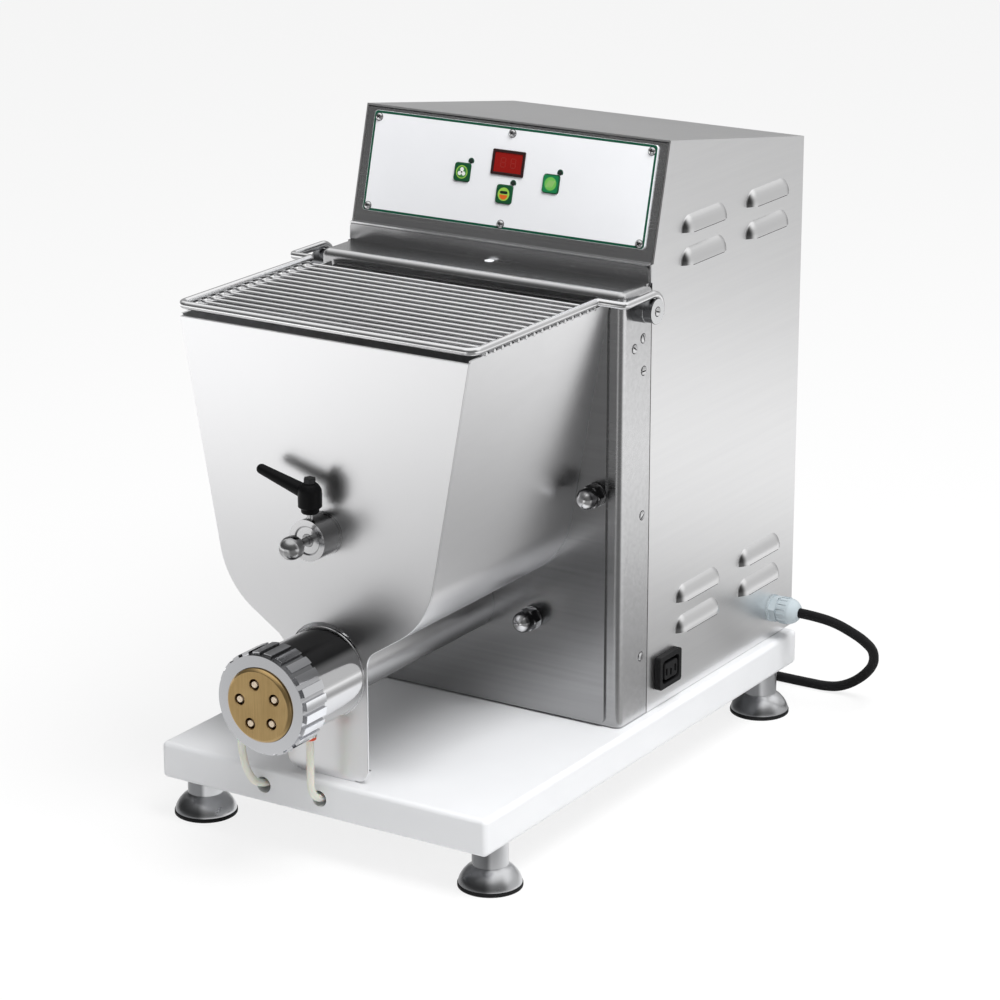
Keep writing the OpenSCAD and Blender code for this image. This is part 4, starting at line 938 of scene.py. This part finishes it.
# %% [markdown]
# ## The wire lid
# The lid is a bent rod of 6 mm with fifteen wires of 3.4 mm welded under it. Each side rod turns
# outwards behind the hopper and ends in a hook that snaps round a boss, which makes the hinge.
# The rod is a line of points, and the wires follow a rule: one wire, a count and a pitch.

# %% The line of the lid's rod
ROD_Z, WIRE_Z = 351.3, 347.0
LID_HALF, LID_FRONT, LID_BACK = 131.0, 14.0, 186.0
HOOK_X, HOOK_R, HOOK_TURN = 153.0, 12.7, 115.0
HINGE_Y, HINGE_Z = 232.5, 337.3


def lid_half_line():
    """From the middle of the front to the tip of the right hook."""
    corner = 8.0
    front = bend((LID_HALF - corner, LID_FRONT + corner, ROD_Z), corner, -90, 0, 8, (0, 1))
    hook = bend((HOOK_X, HINGE_Y, HINGE_Z), HOOK_R, 90, 90 - HOOK_TURN, 14)
    return [(0, LID_FRONT, ROD_Z), *front, (LID_HALF, LID_BACK - 2.5, ROD_Z),
            (LID_HALF + 1.2, LID_BACK + 0.3, ROD_Z),
            (HOOK_X - 2.2, LID_BACK + 4.6, HINGE_Z + HOOK_R),
            (HOOK_X, LID_BACK + 7.5, HINGE_Z + HOOK_R), *hook]


right_side = lid_half_line()
left_side = [(-x, y, z) for x, y, z in right_side[:0:-1]]
rod_points = [at(*p) for p in [*left_side, *right_side]]
rod_mesh = mesh_of("lid_rod", rod_points, [(i, i + 1) for i in range(len(rod_points) - 1)])
print("lid rod:", round(line_length(rod_points), 3), "m")

# %% Weld the lid
lid = Recipe("wire_lid", Wires=15, Pitch=0.010857, Half_Length=0.1325, Wire_Radius=0.0017,
             Rod_Radius=0.003, First_Wire=at(0, 30, 0).y, Wire_Height=at(0, 0, WIRE_Z).z)
rod_curve = lid.node("GeometryNodeMeshToCurve", None, {"Mesh": lid.size("Geometry")})
rod_tube = lid.tube(rod_curve, lid.size("Rod_Radius"), 20)
half = lid.size("Half_Length")
wire_line = lid.node("GeometryNodeCurvePrimitiveLine", None,
                     {"Start": lid.vector(x=half * -1), "End": lid.vector(x=half)})
wire_tube = lid.tube(wire_line, lid.size("Wire_Radius"), 14)
rows = lid.node("GeometryNodeMeshLine", {"mode": "OFFSET", "count_mode": "TOTAL"}, {
    "Count": lid.size("Wires"), "Offset": lid.vector(y=lid.size("Pitch")),
    "Start Location": lid.vector(y=lid.size("First_Wire"), z=lid.size("Wire_Height"))})
wires = lid.node("GeometryNodeInstanceOnPoints", None, {"Points": rows, "Instance": wire_tube})
lid_grid = lid.grow("wire_lid", rod_mesh, finishes["wire_steel"], rod_tube, wires)
WELD_WIDTH, WELD_ANGLE, WIRE_ANGLE = 0.4, 60, 50
shade_by_angle(lid_grid.data, WIRE_ANGLE)
settle(round_edges(lid_grid, WELD_WIDTH, WELD_ANGLE), "lid_grid")
print("lid faces:", len(lid_grid.data.polygons))

# %% [markdown]
# ## Screws
# A screw head is turned on a lathe and its slot is cut with a boolean. A recipe then puts one head
# on every point of a mesh: each point knows which way its head looks and how far its slot is
# turned. A thin dark disc lies in the slot's bottom and shows round the head: it is painted shade.

# %% Helpers to make heads
SAW_HEIGHT = 0.01
HEAD_ANGLE = 35


def lathe(name, profile, sides=32):
    """An object turned round Z from (radius, height) pairs in millimetres."""
    shape = bmesh.new()
    rim = [shape.verts.new((r / 1000, 0, z / 1000)) for r, z in profile]
    edges = [shape.edges.new(pair) for pair in zip(rim, rim[1:])]
    bmesh.ops.spin(shape, geom=rim + edges, cent=(0, 0, 0), axis=(0, 0, 1),
                   angle=tau, steps=sides, use_merge=False)
    bmesh.ops.remove_doubles(shape, verts=shape.verts, dist=1e-7)
    bmesh.ops.recalc_face_normals(shape, faces=shape.faces)
    return built(name, shape)


def block(name, low, high):
    """A box between two corners in metres."""
    low, high = Vector(low), Vector(high)
    shape = bmesh.new()
    size = Matrix.Diagonal((*(high - low), 1))
    bmesh.ops.create_cube(shape, size=1, matrix=Matrix.Translation((low + high) / 2) @ size)
    bmesh.ops.recalc_face_normals(shape, faces=shape.faces)
    return built(name, shape)


def cut_slot(head, length, width, bottom, turn=0):
    """Cuts a slot across a head, from a bottom height upwards."""
    half = Vector((length, width, 0)) / 2000
    foot = Vector((0, 0, bottom)) / 1000
    saw = block("saw", foot - half, foot + half + Vector((0, 0, SAW_HEIGHT)))
    saw.data.transform(Matrix.Rotation(radians(turn), 4, "Z"))
    modifier = head.modifiers.new("slot", "BOOLEAN")
    modifier.object, modifier.operation, modifier.solver = saw, "DIFFERENCE", "EXACT"
    plain_mesh(head)
    bpy.data.objects.remove(saw)


print("a saw of", SAW_HEIGHT, "m cuts the slots")


# %% Helpers to place heads
def screw_points(name, places):
    """A mesh with one point for each screw: (place, aim, turn in degrees)."""
    mesh = mesh_of(name, [place for place, _, _ in places])
    mesh.attributes.new("aim", "FLOAT_VECTOR", "POINT")
    mesh.attributes.new("turn", "FLOAT", "POINT")
    for i, (_, aim, turn) in enumerate(places):
        mesh.attributes["aim"].data[i].vector = aim
        mesh.attributes["turn"].data[i].value = radians(turn)
    return mesh


def scatter(name, head, places, slot, node=None):
    """Puts a head on every point, with its slot turned. It can stand for a node."""
    recipe = Recipe(name, Head=head, Scale=1.0)
    aim, turn = [recipe.node("GeometryNodeInputNamedAttribute", {"data_type": kind}, {"Name": key})
                 for key, kind in (("aim", "FLOAT_VECTOR"), ("turn", "FLOAT"))]
    aimed = recipe.node("FunctionNodeAlignRotationToVector", {"axis": "Z"}, {"Vector": aim})
    spin = recipe.node("FunctionNodeAxisAngleToRotation", None, {"Axis": (0, 0, 1), "Angle": turn})
    turned = recipe.node("FunctionNodeRotateRotation", {"rotation_space": "LOCAL"},
                         {"Rotation": aimed, "Rotate By": spin})
    shape = recipe.node("GeometryNodeObjectInfo", None, {"Object": recipe.size("Head")},
                        output="Geometry")
    heads = recipe.node("GeometryNodeInstanceOnPoints", None, {
        "Points": recipe.size("Geometry"), "Instance": shape, "Rotation": turned,
        "Scale": recipe.size("Scale")})
    piece = recipe.grow(name, screw_points(name, places), finishes[slot], heads)
    bpy.data.objects.remove(head)
    shade_by_angle(piece.data, HEAD_ANGLE)
    print(name, len(places), "heads,", len(piece.data.polygons), "faces")
    return settle(piece, node) if node else trim(piece, slot)


def set_screws(node, head, gap, places):
    """Sets the heads that stand for a node of screws, and the dark discs of painted shade in their
    slots.
    """
    scatter(f"{node[:-1]}_heads", head, places, "fastener_steel", node)
    scatter(f"{node[:-1]}_gaps", gap, places, "stud_black")


# %% Make the slotted screws
FRAME_SCREWS = [(241.5, 311.8), (228.5, 306.3), (243, 285.7), (243.3, 168.7), (243.8, 51.5)]
BACK_SCREWS = [(x, z) for x in (-126, 126) for z in (20, 210, 395)]
CASE_HALF, BOSS_END, CASE_BACK = 140.0, 157.5, 502.0
case_places = []
for side in (-1, 1):
    out = (side, 0, 0)
    for i, (y, z) in enumerate(FRAME_SCREWS):
        case_places.append((at(side * CASE_HALF, y, z), out, 20 + 35 * i))
    case_places.append((at(side * BOSS_END, HINGE_Y, HINGE_Z), out, 75))
case_places += [(at(x, CASE_BACK, z), (0, 1, 0), 30 + z) for x, z in BACK_SCREWS]
slotted = lathe("slotted_head", [(0, 0.05), (3.3, 0.05), (3.45, 0.2), (3.3, 0.6), (2.6, 0.85),
                                 (1.2, 0.98), (0, 1.0)])
cut_slot(slotted, 9, 1.1, 0.2)
# painted shade: a thin dark disc for the slot's bottom and the ring round the head
slot_gap = lathe("slot_gap", [(0, 0.02), (4.0, 0.02), (4.0, 0.08), (2.6, 0.1), (2.6, 0.3),
                              (0, 0.3)])
set_screws("case_screws", slotted, slot_gap, case_places)

# %% Make the cross-slotted screws of the faceplate
LEAN = radians(14.7)
PANEL_UP = Vector((0, sin(LEAN), cos(LEAN)))
PANEL_OUT = Vector((0, -cos(LEAN), sin(LEAN)))
PANEL_FOOT = at(0, 256, 367)


def on_panel(x, up, out):
    """A point over the leaning panel: across it, up it and out of it, in millimetres."""
    return PANEL_FOOT + (Vector((x, 0, 0)) + PANEL_UP * up + PANEL_OUT * out) / 1000


FACE_T = 1.5
CROSS_SCREWS = [(x, up) for x in (-125.8, 0, 125.8) for up in (13.8, 85.3)]
CROSS_TURNS = (24, 52, 8, 66, 35, 80)
cross_places = [(on_panel(x, up, FACE_T), PANEL_OUT, turn)
                for (x, up), turn in zip(CROSS_SCREWS, CROSS_TURNS)]
crossed = lathe("cross_head", [(0, 0), (3.0, 0), (3.1, 0.3), (2.8, 0.9), (2.0, 1.45), (0.9, 1.7),
                               (0, 1.75)])
for turn in (0, 90):
    cut_slot(crossed, 3.9, 0.75, 0.7, turn)
# painted shade: a thin dark disc for the bottoms of the cross slot and the ring round the head
cross_gap = lathe("cross_gap", [(0, 0.02), (3.5, 0.02), (3.5, 0.06), (1.9, 0.1), (1.9, 0.72),
                                (0, 0.72)])
set_screws("faceplate_screws", crossed, cross_gap, cross_places)

# %% [markdown]
# ## Printed parts of the control panel
# The faceplate has a thin green border, and each button carries a badge with a plain drawing: a
# stirrer, a bowl and some strands. Paint has almost no thickness, so each layer is a flat plate
# of a tenth of a millimetre or so. They lie on the piece that they are printed on.

# %% Helpers for flat print
PRINTS = dict(
    print_dark_green=(6, 78, 56), print_lime=(156, 206, 84), print_moss=(60, 128, 62),
    print_white=(240, 242, 238), print_orange=(222, 104, 34), print_leaf=(112, 190, 84),
    print_strand=(176, 196, 140), print_dark=(16, 40, 22), print_segment=(150, 34, 26),
    print_green=(16, 124, 72),
)
prints = {name: moulded(name, colour, (0.35, 0.45)) for name, colour in PRINTS.items()}


def ring_points(x, up, radius, count=24, start=0.0, end=360.0):
    """Points round a circle or along an arc, as (x, up) pairs."""
    points = bend((x, up), radius, start, end, count, (0, 1))
    return points[:count] if end - start == 360 else points


def rounded_outline(half_w, half_h, radius, up=0.0):
    """The outline of a plate with round corners."""
    line = []
    for i, (side, top) in enumerate(((1, 1), (-1, 1), (-1, -1), (1, -1))):
        line += ring_points(side * (half_w - radius), up + top * (half_h - radius), radius, 6,
                            90 * i, 90 * i + 90)
    return line


def bar(x, up, length, width, turn=0.0):
    """A bar with pointed ends, as on a segment display."""
    half, side = length / 2, width / 2
    turn = radians(turn)
    outline = [(-half, 0), (-half + side, -side), (half - side, -side), (half, 0),
               (half - side, side), (-half + side, side)]
    c, s = cos(turn), sin(turn)
    return [(x + a * c - b * s, up + a * s + b * c) for a, b in outline]


def plate_faces(shape, outline, hole, low, high):
    """Adds a flat plate over the panel to a bmesh, with or without a hole in it."""
    rings = [[shape.verts.new(on_panel(x, up, out)) for x, up in line]
             for line, out in ((outline, low), (outline, high), (hole, high), (hole, low)) if line]
    if hole:
        rings.append(rings[0])
    faces = [shape.faces.new((a[i - 1], a[i], b[i], b[i - 1]))
             for a, b in zip(rings, rings[1:]) for i in range(len(a))]
    return faces if hole else faces + [shape.faces.new(ring) for ring in rings]


def printed(name, layers, body, slot):
    """Flat plates over the panel. Each layer is (outline, hole or None, from, to, look)."""
    shape = bmesh.new()
    looks = list(dict.fromkeys(layer[-1] for layer in layers))
    for *plate, look in layers:
        for face in plate_faces(shape, *plate):
            face.material_index = looks.index(look)
    bmesh.ops.recalc_face_normals(shape, faces=shape.faces)
    print(name, len(layers), "layers")
    return fasten(built(name, shape), body, slot, *[prints[look] for look in looks])


# %% Print the border and the tabs
FACE_MID = 50.25
border_out = rounded_outline(130.3, 40.05, 2.9, up=FACE_MID)
border_in = rounded_outline(128.4, 38.15, 1.4, up=FACE_MID)
layers = [(border_out, border_in, FACE_T - 0.02, FACE_T + 0.05, "print_dark_green")]
BUTTONS = dict(button_left=(-41, 50.3), button_middle=(0, 37.4), button_right=(41, 50.3))
LENS_X, LENS_UP = 6.8, 9.4
for x, up in BUTTONS.values():
    tab = [(px, py) for px, py in ring_points(x + LENS_X, up + LENS_UP, 2.7)
           if py > up + LENS_UP - 1.6]
    layers.append((tab, None, FACE_T - 0.02, FACE_T + 0.12, "print_dark_green"))
printed("panel_print", layers, "machine", "button_green")

# %% Print the badges
TOP, BADGE_R, BUTTON_HALF = 2.7, 5.3, 6.7


def badge(node, disc, *marks, plate=None):
    """A badge on a button, round or of another outline, with marks over it: (outline, look)."""
    x, up = BUTTONS[node]
    flats = [(plate or ring_points(0, 0, BADGE_R, 32), TOP - 0.02, TOP + 0.06, disc)]
    for i, (outline, look) in enumerate(marks):
        flats.append((outline, TOP + 0.04, TOP + 0.1 + 0.03 * i, look))
    layers = [([(x + a, up + b) for a, b in outline], None, *rest) for outline, *rest in flats]
    return printed(f"{node}_badge", layers, body_of[node], slot_of[node])


blades = [(ring_points(2.1 * cos(a), 2.1 * sin(a), 1.7, 14), "print_white")
          for a in (radians(90), radians(210), radians(330))]
badge("button_left", "print_lime", (ring_points(0, 0, 4.5, 28), "print_moss"), *blades,
      (ring_points(0, 0, 1.4, 14), "print_white"), (ring_points(0, 0, 0.7, 12), "print_dark"))
badge("button_middle", "print_lime", (ring_points(0, -0.5, 3.8, 18, 180, 360), "print_orange"),
      (bar(0, 1.4, 7.6, 2.2), "print_dark"))
badge("button_right", "print_green", (ring_points(0, 0, BADGE_R, 32), "print_leaf"),
      *[(bar(x, 0, 6.4, 0.55, 62), "print_strand") for x in (-2.4, -0.8, 0.8, 2.4)],
      plate=rounded_outline(BUTTON_HALF, BUTTON_HALF, 1.8))

# %% Print the unlit segments of the display
SEGMENTS = [(0, 3.6, 0), (0, 0, 0), (0, -3.6, 0), (2.1, 1.8, 90), (-2.1, 1.8, 90), (2.1, -1.8, 90),
            (-2.1, -1.8, 90)]
WINDOW = 2.0
DIGITS, DIGIT_UP = (-4.6, 4.6), 62
layers = [(bar(x + dx, DIGIT_UP + dy, 3.5, 0.8, turn), None, WINDOW - 0.01, WINDOW + 0.03,
           "print_segment") for x in DIGITS for dx, dy, turn in SEGMENTS]
printed("display_segments", layers, "machine", "display_red")

# %% [markdown]
# ## Small parts of the housing
# A cap closes a hole in the ledge, a thin black strip paints the shade in the gap between the
# front frame and the cover, and a rolled rim joins the barrel to the hopper. Each is a lathe shape
# or a thin strip.

# %% The cap, the gap and the rim
def placed(piece, place, aim=(0, 0, 1)):
    """Moves a piece's mesh to a place of the drawing, with its Z along the aim."""
    turn = Vector(aim).to_track_quat("Z", "Y").to_matrix().to_4x4()
    piece.data.transform(Matrix.Translation(at(*place)) @ turn)
    shade_by_angle(piece.data, HEAD_ANGLE)
    return piece


cap = placed(lathe("ledge_cap", [(0, 0), (3.8, 0), (3.8, 0.2), (3.4, 0.35), (0, 0.4)]),
             (-3.8, 247.9, 353))
trim(cap, "white_faceplate")
# painted shade: a thin black strip in the gap between the front frame and the cover
for name, side in (("right", 1), ("left", -1)):
    trim(block(f"seam_{name}", at(side * 139.4, 253.5, 1.2), at(side * 140.03, 254.5, 352.6)),
         "stud_black")
NECK_R, RIM_R, RIM_STEPS = 35.05, 0.75, 8
rim_angles = [pi * i / RIM_STEPS for i in range(RIM_STEPS + 1)]
rim_profile = [(NECK_R + RIM_R * sin(a), RIM_R * cos(a)) for a in rim_angles]
rim = placed(lathe("neck_rim", rim_profile, 64), (0, 11.2, AUGER_Z), (0, -1, 0))
trim(rim, "polished_steel")
print("small parts:", cap.name, rim.name, "and two seams")

# %% [markdown]
# ## Ribs of the cable gland
# The dome nut of the gland has ribs for the fingers. One rib is a small block, and a recipe sets
# it on every point of a circle.

# %% Make the ribs
GLAND_Y, GLAND_Z = 466.0, 26.0
RIBS, RIB_OUT, RIB_R = 16, 13.4, 0.0107
rib_places = []
for i in range(RIBS):
    angle = tau * i / RIBS
    out = Vector((0, cos(angle), sin(angle)))
    rib_places.append((at(CASE_HALF + RIB_OUT, GLAND_Y, GLAND_Z) + out * RIB_R, out, 90))
rib = block("rib", (-0.0005, -0.0037, 0), (0.0005, 0.0037, 0.00075))
scatter("gland_ribs", rib, rib_places, "gland_grey")

# %% [markdown]
# ## Painted shade under the louvres
# Each louvre is a hood that is pressed out of the sheet, open at one long side. A thin dark strip
# under the hood's edge paints the shade in the opening, and one strip serves all of the louvres.

# %% Paint the shade in the openings
LOUVRE_ROWS, LOUVRE_COLUMNS = (54, 80, 357, 383), (334, 439)
shade_strip_places = [(at(side * CASE_HALF, y, z), (side, 0, 0), 90 - side * 90)
              for side in (-1, 1) for y in LOUVRE_COLUMNS for z in LOUVRE_ROWS]
# painted shade: one dark strip under each hood's open edge
lip = block("lip", (-0.0001, -0.0245, 0.0049), (0.0005, 0.0245, 0.0059))
scatter("louvre_lips", lip, shade_strip_places, "stud_black")
